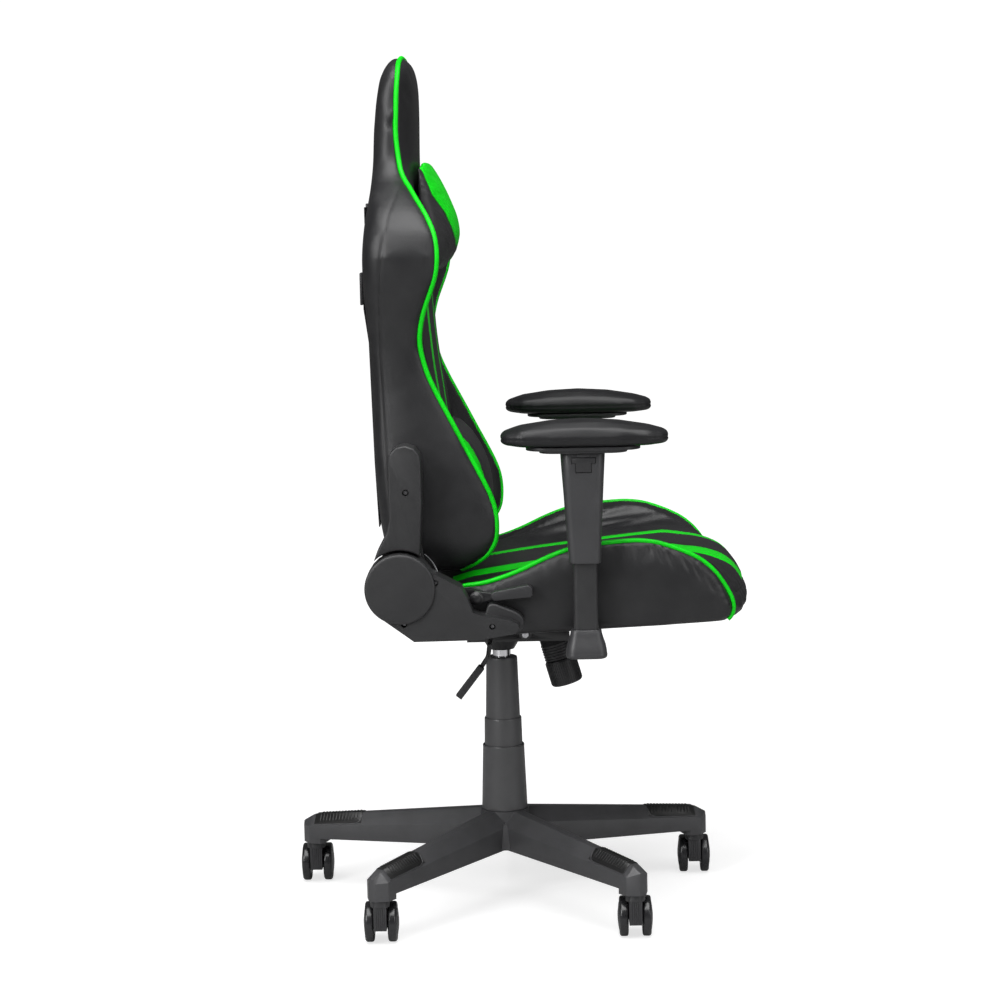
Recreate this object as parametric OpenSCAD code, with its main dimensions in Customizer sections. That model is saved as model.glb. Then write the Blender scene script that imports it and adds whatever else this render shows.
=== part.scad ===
// Gaming chair: five-star base on twin-wheel casters, gas lift with telescopic covers, rocking
// mechanism, bucket seat, reclining bucket back, pillows on straps, height-adjustable armrests.
// Millimetres. +Z is up and the chair faces -Y, so the sitter's right hand is on -X.
// The origin is on the floor, on the axis of the gas lift.

/* [Base] */
// Radius of the circle through the caster stems
base_r = 320; // [300:2:330]
// Turn of the base about the gas lift, in degrees
base_turn = 1.3; // [-8:0.1:8]
// Width of a leg at its tip
leg_tip_w = 40; // [38:1:44]
// Height of the leg's ridge at the hub
leg_hub_z = 142; // [140:1:143]

/* [Casters] */
// Diameter of a caster wheel
wheel_d = 60; // [58:1:60]
// Width of one wheel
wheel_w = 13.2; // [12:0.2:14]
// Distance from the stem to the axle
trail = 20; // [18:1:22]

/* [Gas lift] */
// Outer radius of the lower cover at its foot
lower_cover_r = 35.5; // [34:0.5:37]
// Radius of the pressure tube
tube_r = 14; // [14:0.1:14]

/* [Mechanism] */
// Lean of the tension knob's axis from vertical, in degrees
knob_lean = 16; // [14:0.5:17]
// Radius of the tension knob
knob_r = 25; // [24:0.5:26]

/* [Seat] */
// Height of the seat's underside at the gas lift
seat_z = 453.3; // [453:0.1:454]
// Rise of the seat's underside towards the front, in degrees
seat_pitch = 2.6; // [2.4:0.1:2.8]
// Half the width of the seat at its widest
seat_hw = 255; // [252:1:256]

/* [Back] */
// Half the width of the back at its shoulders
shoulder_hw = 262; // [255:1:265]
// Half the width of the headrest
head_hw = 141; // [135:1:145]
// Distance of the recline axis behind the gas lift
recline_y = 139; // [138:1:140]
// Height of the recline axis
recline_z = 535; // [534:1:536]
// Radius of the round recliner cover
disc_r = 51; // [50:0.5:52]

/* [Armrests] */
// Distance of an armrest's centre from the middle
arm_x = 285; // [284:1:288]
// Distance of an armrest's post in front of the gas lift
arm_y = -128; // [-130:1:-126]
// Length of the arm pad
pad_len = 241; // [235:1:245]
// Width of the arm pad
pad_w = 88; // [84:1:92]

/* [Hidden] */
$fn = 48;

leg_count = 5;
leg_step = 360 / leg_count;
run_gap = 0.05;          // radial clearance of a running fit
slide_gap = 0.3;         // clearance round a sliding moulding
bush_gap = 0.5;          // end clearance between turning parts
stem_r = 5.5;
axle_r = 4;
hood_w = 19;
neck_bottom = 59;
neck_gap = 0.6;          // between a caster's neck and the leg
wheel_gap = 0.6;         // between the hood and a wheel
hub_r = 38;
hub_bottom = 86;
hub_top = leg_hub_z - 0.5;
tip_bottom = 69;
socket_depth = 24;
tip_end = base_r + 18;
tip_chamfer = 13.7;
insert_t = 1.2;

rod_r = 5;
column_r = 25;
column_bottom = 80;
column_top = 212;
tube_bottom = 182;
tube_top = 427;
cover_wall = 1.2;

tilt_y = -38;
tilt_z = 424;
tilt_pin_r = 5;
lever_y = 14;
lever_z = 434;
lever_r = 3.5;
lever_x = -196;
elbow_r = 4;
housing_hw = 48;
housing_floor = 412;
sheet_t = 3;
knob_y = -90.8;
knob_z = 377;

frame_t = 15;
bracket_seat_x = 251;
bracket_back_x = 240;
bracket_t = 5;
recliner_axle_r = 6;
cover_in = 257.5;
cover_out = 300;
upper_cover_out = 290;
cover_t = 3;
lever_pivot_y = 30;
lever_pivot_z = 515;

sleeve_top = 727;
sleeve_bottom = 567;
post_top = 650;
boot_top = 470;
boot_bottom = 429;
pad_y = arm_y - 2;
pad_under = 737;

// ---- small helpers ----

// Places its children at each leg, which points along +X
module at_legs() {
    for (k = [0 : leg_count - 1]) rotate([0, 0, base_turn + leg_step * k]) children();
}

// Places its children on one side of the chair: -1 right, +1 left
module on_side(side) {
    if (side > 0) children();
    else mirror([1, 0, 0]) children();
}

// The plane of the seat's underside, which rises towards the front
module on_seat_plane() {
    translate([0, 0, seat_z]) rotate([-seat_pitch, 0, 0]) children();
}

// A cylinder along +X from x1 to x2
module rod_x(x1, x2, r) {
    translate([x1, 0, 0]) rotate([0, 90, 0]) cylinder(h = x2 - x1, r = r);
}

// A plate across X from x1 to x2 with a side outline given as [y, z] points
module side_plate(x1, x2, outline) {
    translate([x1, 0, 0]) rotate([90, 0, 90]) linear_extrude(height = x2 - x1) polygon(outline);
}

// Corners of a box outline with rounded corners, n steps to a corner
function round_box(w, d, r, n = 3) = [
    for (c = [0 : 3], i = [0 : n])
        let (a = 90 * c + 90 * i / n, sx = c == 0 || c == 3 ? 1 : -1, sy = c < 2 ? 1 : -1)
            [sx * (w / 2 - r) + r * cos(a), sy * (d / 2 - r) + r * sin(a)]
];

// Points of an arc from angle a1 to a2 in n steps
function arc(cy, cz, r, a1, a2, n) = [
    for (i = [0 : n]) let (a = a1 + (a2 - a1) * i / n) [cy + r * cos(a), cz + r * sin(a)]
];

// Six times the volume that faces enclose, positive where they turn left seen from outside
function turn_of(points, faces) =
    let (v = [
        for (f = faces, i = [1 : len(f) - 2])
            points[f[0]] * cross(points[f[i]], points[f[i + 1]])
    ])
        v * [for (x = v) 1];

// A solid skinned over rings of points, all rings with the same number of points
module loft(rings) {
    n = len(rings[0]);
    m = len(rings);
    points = [for (r = rings) each r];
    side_a = [for (j = [0 : m - 2], i = [0 : n - 1]) [j * n + i, j * n + (i + 1) % n, (j + 1) * n + i]];
    side_b = [
        for (j = [0 : m - 2], i = [0 : n - 1])
            [j * n + (i + 1) % n, (j + 1) * n + (i + 1) % n, (j + 1) * n + i]
    ];
    first = [[for (i = [n - 1 : -1 : 0]) i]];
    last = [[for (i = [0 : n - 1]) (m - 1) * n + i]];
    faces = concat(first, side_a, side_b, last);
    flipped = [for (f = faces) [for (i = [len(f) - 1 : -1 : 0]) f[i]]];
    polyhedron(points = points, faces = turn_of(points, faces) > 0 ? flipped : faces, convexity = 8);
}

// The mirror-symmetric ring of a half outline that starts and ends off the middle
function mirrored(half) = concat(half, [for (i = [len(half) - 1 : -1 : 0]) [-half[i][0], half[i][1]]]);

// ---- base ----

// Leg section: [distance, half width, half ridge, underside, shoulder, ridge height]
leg_sections = [
    [28, 27, 8, hub_bottom - 2, 120, leg_hub_z],
    [base_r - 2, leg_tip_w / 2, 6, 77, 98, 113],
    [tip_end - tip_chamfer, leg_tip_w / 2, 6, 77, 97, 111],
    [tip_end, leg_tip_w / 2 - tip_chamfer, 4, 77, 96, 103]
];

// Ring of a leg section seen along the leg
function leg_ring(s) = [
    [s[0], -s[1], s[3]], [s[0], s[1], s[3]], [s[0], s[1], s[4]],
    [s[0], s[2], s[5]], [s[0], -s[2], s[5]], [s[0], -s[1], s[4]]
];

// Leg section at a distance along the straight part of the leg
function leg_at(d) =
    let (a = leg_sections[0], b = leg_sections[1], t = (d - a[0]) / (b[0] - a[0]))
        a + (b - a) * t;

module leg() {
    loft([for (s = leg_sections) leg_ring(s)]);
}

// The hollow under a leg, which leaves walls 4 mm thick
module leg_hollow() {
    wall = 4;
    loft([
        for (d = [50, base_r - 28])
            let (s = leg_at(d))
                leg_ring([d, s[1] - wall, s[2] - 1, s[3] - 1, s[4] - 3, s[5] - wall - 1])
    ]);
}

// The deeper block that holds the stem
module leg_socket() {
    block = [
        [base_r - 20, -14], [base_r - 14, -leg_tip_w / 2], [tip_end - tip_chamfer, -leg_tip_w / 2],
        [tip_end, tip_chamfer - leg_tip_w / 2], [tip_end, leg_tip_w / 2 - tip_chamfer],
        [tip_end - tip_chamfer, leg_tip_w / 2], [base_r - 14, leg_tip_w / 2], [base_r - 20, 14]
    ];
    translate([0, 0, tip_bottom]) linear_extrude(height = 10) polygon(block);
}

module star_base() {
    color([0.20, 0.20, 0.21])
    difference() {
        union() {
            at_legs() {
                difference() {
                    leg();
                    leg_hollow();
                }
                leg_socket();
            }
            translate([0, 0, hub_bottom]) cylinder(h = hub_top - hub_bottom, r = hub_r);
        }
        translate([0, 0, hub_bottom - 5]) cylinder(h = 70, r = column_r + run_gap);
        at_legs() translate([base_r, 0, tip_bottom - 1]) cylinder(h = socket_depth + 1, r = stem_r + run_gap);
    }
}

// A ribbed insert's place lies over the ridge and most of both slopes of a leg
module leg_inserts() {
    start = base_r - 84;
    s = leg_at(base_r - 43);
    hub = leg_sections[0];
    tip = leg_sections[1];
    pitch = atan2(hub[5] - tip[5], tip[0] - hub[0]);
    cover = 0.86;
    w = s[2] + (s[1] - s[2]) * cover;
    drop = (s[4] - s[5]) * cover;
    section = [
        [w, drop - 0.3], [s[2], -0.3], [-s[2], -0.3], [-w, drop - 0.3],
        [-w - 0.9, drop + 0.8], [-s[2] - 0.4, insert_t], [s[2] + 0.4, insert_t], [w + 0.9, drop + 0.8]
    ];
    color([0.05, 0.05, 0.05]) at_legs()
        translate([start, 0, leg_at(start)[5]]) rotate([0, pitch, 0])
            rotate([90, 0, 90]) linear_extrude(height = 81) polygon(section);
}

// ---- casters ----

// Turns its children to caster k (1 to 5), whose axle lies along Y for every caster
module at_caster(k) {
    a = base_turn + leg_step * (k - 1);
    translate([base_r * cos(a), base_r * sin(a), 0]) children();
}

module caster_hood(k) {
    wheel_r = wheel_d / 2;
    color([0.13, 0.13, 0.14]) at_caster(k) {
        // hood: neck, block and the mudguard behind the wheels
        difference() {
            union() {
                translate([0, 0, neck_bottom]) cylinder(h = tip_bottom - neck_gap - neck_bottom, r = 14.5);
                translate([trail, 0, wheel_r]) rotate([90, 0, 0])
                    cylinder(h = hood_w, r = wheel_r - 3, center = true);
                translate([-13, -hood_w / 2, 24]) cube([trail + 13, hood_w, 36]);
            }
            translate([0, 0, 34]) cylinder(h = 60, r = stem_r + run_gap);
            translate([trail, 0, wheel_r]) rotate([90, 0, 0])
                cylinder(h = hood_w + 2, r = axle_r + run_gap, center = true);
            translate([-20, -hood_w, -1]) cube([80, 2 * hood_w, 25]);
        }
    }
    // steel stem with its shoulder
    color([0.70, 0.70, 0.72]) at_caster(k) {
        translate([0, 0, 34]) cylinder(h = tip_bottom + socket_depth - 2 - 34, r = stem_r);
    }
    // steel axle
    color([0.70, 0.70, 0.72]) at_caster(k)
        translate([trail, 0, wheel_r]) rotate([90, 0, 0])
            cylinder(h = 2 * (hood_w / 2 + wheel_gap + wheel_w - 2), r = axle_r, center = true);
}

module caster_wheels(k) {
    wheel_r = wheel_d / 2;
    inner = hood_w / 2 + wheel_gap;
    color([0.09, 0.09, 0.10]) at_caster(k) translate([trail, 0, wheel_r])
        for (s = [-1, 1]) scale([1, s, 1]) rotate([-90, 0, 0]) rotate_extrude()
            polygon([
                [axle_r + run_gap, inner], [wheel_r - 1.5, inner], [wheel_r, inner + 1.5],
                [wheel_r, inner + wheel_w - 3], [wheel_r - 3, inner + wheel_w],
                [12, inner + wheel_w + 3], [0.01, inner + wheel_w + 3], [0.01, inner + wheel_w - 1.5],
                [axle_r + run_gap, inner + wheel_w - 1.5]
            ]);
}

// ---- gas lift ----

module column_tube() {
    color([0.15, 0.15, 0.16]) difference() {
        translate([0, 0, column_bottom]) cylinder(h = column_top - column_bottom, r = column_r);
        translate([0, 0, column_bottom + 4]) cylinder(h = column_top, r = column_r - 1.5);
        translate([0, 0, column_bottom - 1]) cylinder(h = 10, r = rod_r + 1);
    }
}

module column_guide() {
    color([0.85, 0.85, 0.82]) difference() {
        translate([0, 0, 118]) cylinder(h = column_top + 2 - 118, r = column_r - 1.5);
        translate([0, 0, 117]) cylinder(h = column_top, r = tube_r + run_gap);
    }
}

module lift_rod() {
    color([0.75, 0.75, 0.77]) {
        translate([0, 0, 74]) cylinder(h = 126, r = rod_r);
        translate([0, 0, 190]) cylinder(h = 14, r = tube_r - 1.6);
    }
}

// Thrust bearing inside the tube, washer and clip under it, as separate solids
module rod_fittings() {
    color([0.70, 0.70, 0.72]) {
        ring(column_bottom + 4.3, 6, 13, rod_r);
        ring(column_bottom - 2, 1.7, 20, rod_r);
        ring(column_bottom - 4, 2, 10, rod_r);
    }
}

module ring(z, h, r, bore) {
    translate([0, 0, z]) difference() {
        cylinder(h = h, r = r);
        translate([0, 0, -1]) cylinder(h = h + 2, r = bore);
    }
}

module pressure_tube() {
    color([0.80, 0.80, 0.82]) difference() {
        translate([0, 0, tube_bottom]) cylinder(h = tube_top - tube_bottom, r = tube_r);
        translate([0, 0, tube_bottom - 1]) cylinder(h = 216, r = tube_r - 1.5);
        translate([0, 0, tube_bottom + 200]) cylinder(h = 60, r = 4 + run_gap);
    }
}

module release_pin() {
    color([0.75, 0.75, 0.77]) translate([0, 0, tube_top - 16]) cylinder(h = 20, r = 4);
}

// A tapered cover tube from z1 to z2
module cover_tube(z1, z2, r1, r2) {
    rotate_extrude() polygon([[r1 - cover_wall, z1], [r1, z1], [r2, z2], [r2 - cover_wall, z2]]);
}

module cover_lower() {
    color([0.16, 0.16, 0.17]) {
        cover_tube(leg_hub_z + 0.1, 243, lower_cover_r, lower_cover_r - 3.5);
    }
}

module cover_middle() {
    color([0.16, 0.16, 0.17]) cover_tube(236, 286, 30, 28.9);
}

module cover_upper() {
    color([0.16, 0.16, 0.17]) {
        cover_tube(276, 382, 27.1, 24.2);
        // inward collar that grips the pressure tube
        difference() {
            translate([0, 0, 376]) cylinder(h = 5, r = 23.2);
            translate([0, 0, 375]) cylinder(h = 7, r = tube_r);
        }
    }
}

// ---- mechanism ----

// Places its children on the knob's axis, with local z = 0 at the top of the knob
module on_knob_axis() {
    translate([0, knob_y, knob_z]) rotate([-knob_lean, 0, 0]) children();
}

module mechanism_housing() {
    wall_outline = [
        [-106, housing_floor], [52, housing_floor], [52, 426], [22, 430], [19.5, 438.8], [7, 438.8],
        [4, 432], [-30, 434], [-46, 434], [-106, 426]
    ];
    color([0.10, 0.10, 0.11]) difference() {
        union() {
            translate([-housing_hw, -106, housing_floor]) cube([2 * housing_hw, 158, sheet_t]);
            side_plate(-housing_hw, sheet_t - housing_hw, wall_outline);
            side_plate(housing_hw - sheet_t, housing_hw, wall_outline);
            // flared taper socket
            translate([0, 0, 394]) cylinder(h = 18.5, r1 = 20, r2 = 31);
            translate([0, 0, housing_floor]) cylinder(h = 16, r = 20);
        }
        translate([0, 0, 393]) cylinder(h = 36, r = tube_r);
        translate([0, tilt_y, tilt_z]) rod_x(-60, 60, tilt_pin_r);
        translate([0, lever_y, lever_z]) rod_x(-60, -40, lever_r + run_gap);
        on_knob_axis() translate([0, -3, 20]) cylinder(h = 40, r = 15);
    }
}

// Ribbed cover of the tension spring, cut level under the housing's floor
module spring_cover() {
    ribs = 6;
    rib_step = 4.4;
    color([0.08, 0.08, 0.09]) difference() {
        on_knob_axis() {
            translate([0, 0, 0.5]) cylinder(h = 46, r = 22.6);
            for (i = [0 : ribs - 1]) translate([0, 0, 1.5 + rib_step * i]) cylinder(h = 2.4, r = 23.6);
        }
        on_knob_axis() cylinder(h = 60, r = 20.5);
        translate([-40, -150, housing_floor]) cube([80, 120, 60]);
    }
}

module tension_spring() {
    coil_r = 15.5;
    wire = 4;
    turns = 4;
    height = 25;
    steps = 20 * turns;
    color([0.55, 0.55, 0.57]) on_knob_axis() translate([0, 0, 3])
        loft([
            for (i = [0 : steps])
                let (a = 360 * turns * i / steps, z = height * i / steps)
                    [for (b = [0 : 45 : 315]) let (r = coil_r + wire / 2 * cos(b))
                        [r * cos(a), r * sin(a), z - wire / 2 * sin(b)]]
        ]);
}

module tension_knob() {
    grips = 20;
    color([0.12, 0.12, 0.13]) on_knob_axis() difference() {
        union() {
            translate([0, 0, -41]) cylinder(h = 41, r = knob_r - 0.8);
            for (i = [0 : grips - 1]) rotate([0, 0, 360 * i / grips])
                translate([knob_r - 1.5, 0, -38]) cylinder(h = 35, r = 1.5);
        }
        translate([0, 0, -35]) cylinder(h = 36, r = 20.5);
    }
}

module tension_bolt() {
    color([0.60, 0.60, 0.62]) on_knob_axis() {
        translate([0, 0, -3]) cylinder(h = 77, r = 5);
        translate([0, 0, -3]) cylinder(h = 3, r = 9);
    }
}

module tilt_pin() {
    color([0.65, 0.65, 0.67]) translate([0, tilt_y, tilt_z]) rod_x(-57, 57, tilt_pin_r);
}

// The lever's rod from its first bend down to its end inside the grip
module lever_tail() {
    bend = [lever_x, lever_y, lever_z];
    knee = bend + [0, 2.5, -17.8];
    translate(bend) sphere(r = elbow_r);
    translate(bend) rotate([180 + 8, 0, 0]) cylinder(h = 18, r = lever_r);
    translate(knee) sphere(r = elbow_r);
    translate(knee) rotate([180 + 34, 0, 0]) cylinder(h = 30, r = lever_r);
}

module height_lever() {
    color([0.10, 0.10, 0.11]) {
        translate([0, lever_y, lever_z]) rod_x(lever_x, 8, lever_r);
        lever_tail();
        // finger that presses the release pin
        translate([-6, -2, lever_z - 1.8]) cube([12, 14, 4.5]);
    }
}

module lever_grip() {
    start = [lever_x, lever_y + 12.5, lever_z - 32.8];
    color([0.09, 0.09, 0.10]) difference() {
        translate(start) rotate([38, 0, 0]) translate([-7, -5, -57]) cube([14, 10, 57]);
        lever_tail();
    }
}

module tilt_plate() {
    ear = concat(
        [[tilt_y - 16, seat_z + 0.5], [tilt_y - 9, tilt_z - 5]],
        arc(tilt_y, tilt_z, 9, 210, 330, 6),
        [[tilt_y + 9, tilt_z - 5], [tilt_y + 16, seat_z - 0.5]]
    );
    color([0.10, 0.10, 0.11]) difference() {
        union() {
            on_seat_plane() translate([-75, -105, -sheet_t]) cube([150, 170, sheet_t]);
            side_plate(housing_hw + bush_gap, housing_hw + bush_gap + sheet_t, ear);
            side_plate(-housing_hw - bush_gap - sheet_t, -housing_hw - bush_gap, ear);
            on_knob_axis() translate([-12, -10, 65]) cube([24, 20, 13]);
        }
        translate([0, tilt_y, tilt_z]) rod_x(-60, 60, tilt_pin_r + run_gap);
        on_seat_plane() plate_bolts() translate([0, 0, -10]) cylinder(h = 20, r = 4.2);
    }
}

// The four mechanism bolts' places on the seat plane
module plate_bolts() {
    for (x = [-62, 62], y = [-92, 52]) translate([x, y, 0]) children();
}

module mechanism_bolts() {
    color([0.25, 0.25, 0.26]) on_seat_plane() plate_bolts() {
        translate([0, 0, -sheet_t]) cylinder(h = sheet_t + frame_t, r = 4);
        translate([0, 0, -sheet_t - 5]) cylinder(h = 5, r = 7);
    }
}

// ---- seat ----

module seat_frame() {
    rail = 26;
    color([0.12, 0.12, 0.13]) on_seat_plane() difference() {
        union() {
            for (x = [-208, 208 - rail]) translate([x, -320, 0]) cube([rail, 410, frame_t]);
            for (y = [-320, -180, -105, 40, 90 - rail]) translate([-208, y, 0]) cube([416, rail, frame_t]);
        }
        plate_bolts() translate([0, 0, -1]) cylinder(h = frame_t + 2, r = 4.2);
    }
}

// Seat stations: [y, half width, bolster top, centre height], from the rear to the front
seat_stations = [
    [116, 222, 500, 494], [108, 232, 513, 503], [88, 240, 522, 509], [52, 246, 530, 514],
    [20, 250, 538, 519], [-34, 252, 556, 527], [-71, 253, 574, 532], [-107, 254, 587, 536],
    [-151, seat_hw, 594, 541], [-206, seat_hw, 598, 547], [-238, seat_hw, 593, 550],
    [-267, 253, 583, 553], [-296, 251, 569, 553], [-317, 249, 552, 551], [-334, 246, 526, 547],
    [-345, 238, 506, 541], [-356, 222, 497, 534], [-368, 190, 492, 516], [-377, 140, 490, 500]
];

// Underside of the cushion, which lifts towards its front edge
function seat_low(y) = seat_z - y * tan(seat_pitch) + (y < -340 ? (-340 - y) * 0.4 : 0);

// Half section of the bucket seat at a station
function seat_half(s) =
    let (y = s[0], w = s[1], low = seat_low(y), top = max(s[2], low + 12), mid = s[3], h = top - low) [
        [w * 0.5, low - 0.4], [w * 0.94, low], [w * 0.985, low + 5], [w, low + h * 0.45],
        [w, top - h * 0.16], [w * 0.972, top - 4], [w * 0.92, top], [w * 0.86, top - 3],
        [w * 0.78, mid + (top - mid) * 0.62], [w * 0.67, mid + (top - mid) * 0.18],
        [w * 0.57, mid], [w * 0.3, mid + 5]
    ];

module seat_cushion() {
    color([0.13, 0.13, 0.14]) loft([
        for (s = seat_stations) [for (p = mirrored(seat_half(s))) [p[0], s[0], p[1]]]
    ]);
}

// ---- recliners and covers ----

seat_bracket_outline = concat(
    arc(recline_y, recline_z, 40, -60, 150, 14),
    [
        [60, 528], [38, 530], [20, 524], [16, 506], [-14, 484], [-22, 474], [-14, 464],
        [110, 463], [140, 480]
    ]
);

back_bracket_outline = concat(
    arc(recline_y, recline_z, 40, -200, 20, 14),
    [[158, 600], [146, 640], [146, 712], [112, 712], [110, 600]]
);

module seat_bracket_side() {
    difference() {
        union() {
            side_plate(bracket_seat_x, bracket_seat_x + bracket_t, seat_bracket_outline);
            translate([0, recline_y, recline_z])
                rod_x(bracket_back_x - 3, bracket_seat_x + bracket_t + 1, recliner_axle_r);
            translate([0, recline_y, recline_z])
                rod_x(bracket_back_x + bracket_t + 0.4, bracket_seat_x, 34);
            // feet into the seat frame
            for (y = [0, 60]) translate([203, y, 462]) cube([bracket_seat_x + 1 - 203, 24, 5]);
        }
        translate([0, lever_pivot_y, lever_pivot_z]) rod_x(240, 270, 5 + run_gap);
    }
}

module seat_brackets() {
    color([0.10, 0.10, 0.11]) for (side = [-1, 1]) on_side(side) seat_bracket_side();
}

module back_bracket_side() {
    difference() {
        union() {
            side_plate(bracket_back_x, bracket_back_x + bracket_t, back_bracket_outline);
            for (z = [640, 694]) translate([0, 130, z]) rod_x(150, bracket_back_x + 1, 6);
        }
        translate([0, recline_y, recline_z]) rod_x(230, 260, recliner_axle_r + run_gap);
    }
}

module back_brackets() {
    color([0.10, 0.10, 0.11]) for (side = [-1, 1]) on_side(side) back_bracket_side();
}

lower_cover_outline = concat(
    arc(recline_y, recline_z, disc_r, -48, 152, 16),
    [
        [51, 536], [42, 520], [35, 499], [25, 495], [-20, 486], [-30, 481], [-32, 475],
        [-25, 467], [26, 459], [120, 458]
    ]
);

// The recliner cover on the seat: an outer shell, open towards the bracket
module lower_cover(side) {
    inner = concat(
        arc(recline_y, recline_z, disc_r - cover_t, -48, 152, 16),
        [[50, 531], [45, 518], [38, 496], [25, 492], [-18, 483], [-27, 477], [-24, 470], [26, 462], [119, 461]]
    );
    color([0.16, 0.16, 0.17]) on_side(side) difference() {
        side_plate(cover_in, cover_out, lower_cover_outline);
        side_plate(cover_in - 1, cover_out - cover_t, inner);
        for (p = cover_screw_points) translate([0, p[0], p[1]]) rod_x(cover_out - 8, cover_out + 1, 2);
    }
}

cover_screw_points = [[90, 541], [134, 488], [7, 478]];

module seat_cover_screws() {
    color([0.30, 0.30, 0.31]) for (side = [-1, 1]) on_side(side)
        for (p = cover_screw_points) translate([0, p[0], p[1]]) rod_x(bracket_seat_x + 2, cover_out - 1, 2);
}

upper_cover_outline = concat(
    arc(recline_y, recline_z, disc_r + 3.5, 123, 47, 8),
    [
        [170, 591], [157, 615], [152, 636], [152, 722], [148, 732], [139, 739], [127, 741],
        [115, 737], [107, 728], [105, 716], [105, 657]
    ]
);

module upper_cover(side) {
    inner = concat(
        arc(recline_y, recline_z, disc_r + 3, 120, 50, 8),
        [
            [166, 591], [154, 613], [149, 634], [149, 720], [145, 730], [138, 736], [127, 738],
            [117, 734], [110, 726], [108, 715], [108, 657]
        ]
    );
    color([0.16, 0.16, 0.17]) on_side(side) difference() {
        side_plate(bracket_back_x + bracket_t + 1, upper_cover_out, upper_cover_outline);
        side_plate(bracket_back_x + bracket_t, upper_cover_out - cover_t, inner);
        translate([0, 128, 673]) rod_x(upper_cover_out - 8, upper_cover_out + 1, 3);
    }
}

module back_cover_screws() {
    color([0.30, 0.30, 0.31]) for (side = [-1, 1]) on_side(side)
        translate([0, 128, 673]) rod_x(bracket_back_x + 2, upper_cover_out - 1, 3);
}

module recline_lever() {
    color([0.10, 0.10, 0.11]) on_side(-1) {
        translate([0, lever_pivot_y, lever_pivot_z]) rod_x(bracket_seat_x, 272, 5);
        difference() {
            side_plate(264, 269, [
                [36, 510], [37, 518], [32, 526], [5, 522], [-30, 527], [-30, 521], [5, 514], [26, 507]
            ]);
            translate([0, lever_pivot_y, lever_pivot_z]) rod_x(260, 280, 5);
        }
    }
}

module recline_grip() {
    color([0.09, 0.09, 0.10]) on_side(-1) difference() {
        side_plate(260, 275, [
            [4, 511], [9, 516], [9, 522], [4, 525], [-46, 534], [-51, 530], [-52, 519], [-48, 516]
        ]);
        side_plate(264, 269, [[12, 522], [5, 522], [-30, 527], [-30, 521], [5, 514], [12, 513]]);
    }
}

// ---- back ----

module back_frame() {
    tube = 11;
    color([0.12, 0.12, 0.13]) {
        for (x = [-150, 150]) translate([x, 138, 590]) cylinder(h = 470, r = tube);
        for (x = [-55, 55]) translate([x, 146, 995]) cylinder(h = 240, r = tube);
        for (z = [600, 820, 1000]) translate([0, 138, z]) rod_x(-145, 145, 9);
        translate([0, 146, 1230]) rod_x(-100, 100, 9);
    }
}

// Back stations: [z, half width, rear, wing front, centre front], from the bottom to the top
back_stations = [
    [543, 196, 138, 56, 100], [552, 214, 150, 34, 92], [570, 226, 160, 9, 84],
    [588, 232, 166, -3, 80], [612, 236, 170, -7, 77], [655, 236, 174, 0, 77],
    [700, 234, 177, 21, 80], [753, 230, 178, 49, 85], [807, 226, 179, 78, 92],
    [849, 226, 180, 96, 98], [890, 232, 182, 102, 102], [924, 242, 184, 97, 105],
    [967, 254, 187, 80, 107], [1010, shoulder_hw, 187, 70, 108], [1047, 254, 184, 77, 109],
    [1075, 232, 180, 91, 110], [1100, 200, 177, 107, 111], [1122, 166, 175, 122, 112],
    [1146, head_hw + 4, 173, 128, 113], [1190, head_hw, 171, 130, 113], [1235, head_hw - 1, 167, 129, 112],
    [1268, head_hw - 8, 161, 127, 112], [1288, head_hw - 24, 154, 124, 115],
    [1299, head_hw - 50, 147, 126, 121], [1304, head_hw - 82, 140, 130, 128]
];

// Half section of the bucket back at a station, as [x, y], from the rear middle to the front middle
function back_half(s) =
    let (w = s[1], rear = s[2], wing = s[3], mid = s[4], deep = rear - wing) [
        [w * 0.4, rear + 0.4], [w * 0.84, rear], [w * 0.95, rear - 6], [w * 0.99, rear - min(22, deep * 0.4)],
        [w, rear - deep * 0.55], [w * 0.997, wing + deep * 0.16], [w * 0.975, wing + 3], [w * 0.935, wing],
        [w * 0.88, wing + (mid - wing) * 0.1], [w * 0.81, wing + (mid - wing) * 0.45],
        [w * 0.73, wing + (mid - wing) * 0.85], [w * 0.5, mid], [w * 0.25, mid - 1]
    ];

module back_cushion() {
    color([0.13, 0.13, 0.14]) difference() {
        loft([
            for (s = back_stations) [for (p = mirrored(back_half(s))) [p[0], p[1], s[0]]]
        ]);
        for (side = [-1, 1]) on_side(side) harness_slot();
    }
}

// The opening that the pillows' straps pass through
module harness_slot() {
    rotate([90, 0, 0]) translate([0, 0, -220]) linear_extrude(height = 200)
        polygon([[74, 1034], [122, 1040], [128, 1052], [122, 1086], [112, 1094], [80, 1090], [72, 1082]]);
}

// Thickness of a pillow at a share u of its half length, full in the middle and nothing at its ends
function pillow_fill(u) = sqrt(max(0, 1 - pow(abs(u), 4)));

// Pillows are one side profile swept along X, drawn in towards both ends
module neck_pillow() {
    half = 132;
    steps = 12;
    color([0.01, 0.72, 0.01]) loft([
        for (i = [0 : steps])
            let (u = -1 + 2 * i / steps, k = max(pillow_fill(u), 0.35), x = half * u)
                [for (p = neck_profile) [x, 106 + (p[0] - 106) * k, 1066 + (p[1] - 1066) * (0.75 + 0.25 * k)]]
    ]);
}

neck_profile = [
    [104, 1143], [92, 1132], [72, 1104], [56, 1068], [50, 1040], [53, 1018], [62, 1000],
    [74, 987], [88, 984], [99, 992], [104, 1020], [106, 1066], [106, 1118]
];

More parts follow.
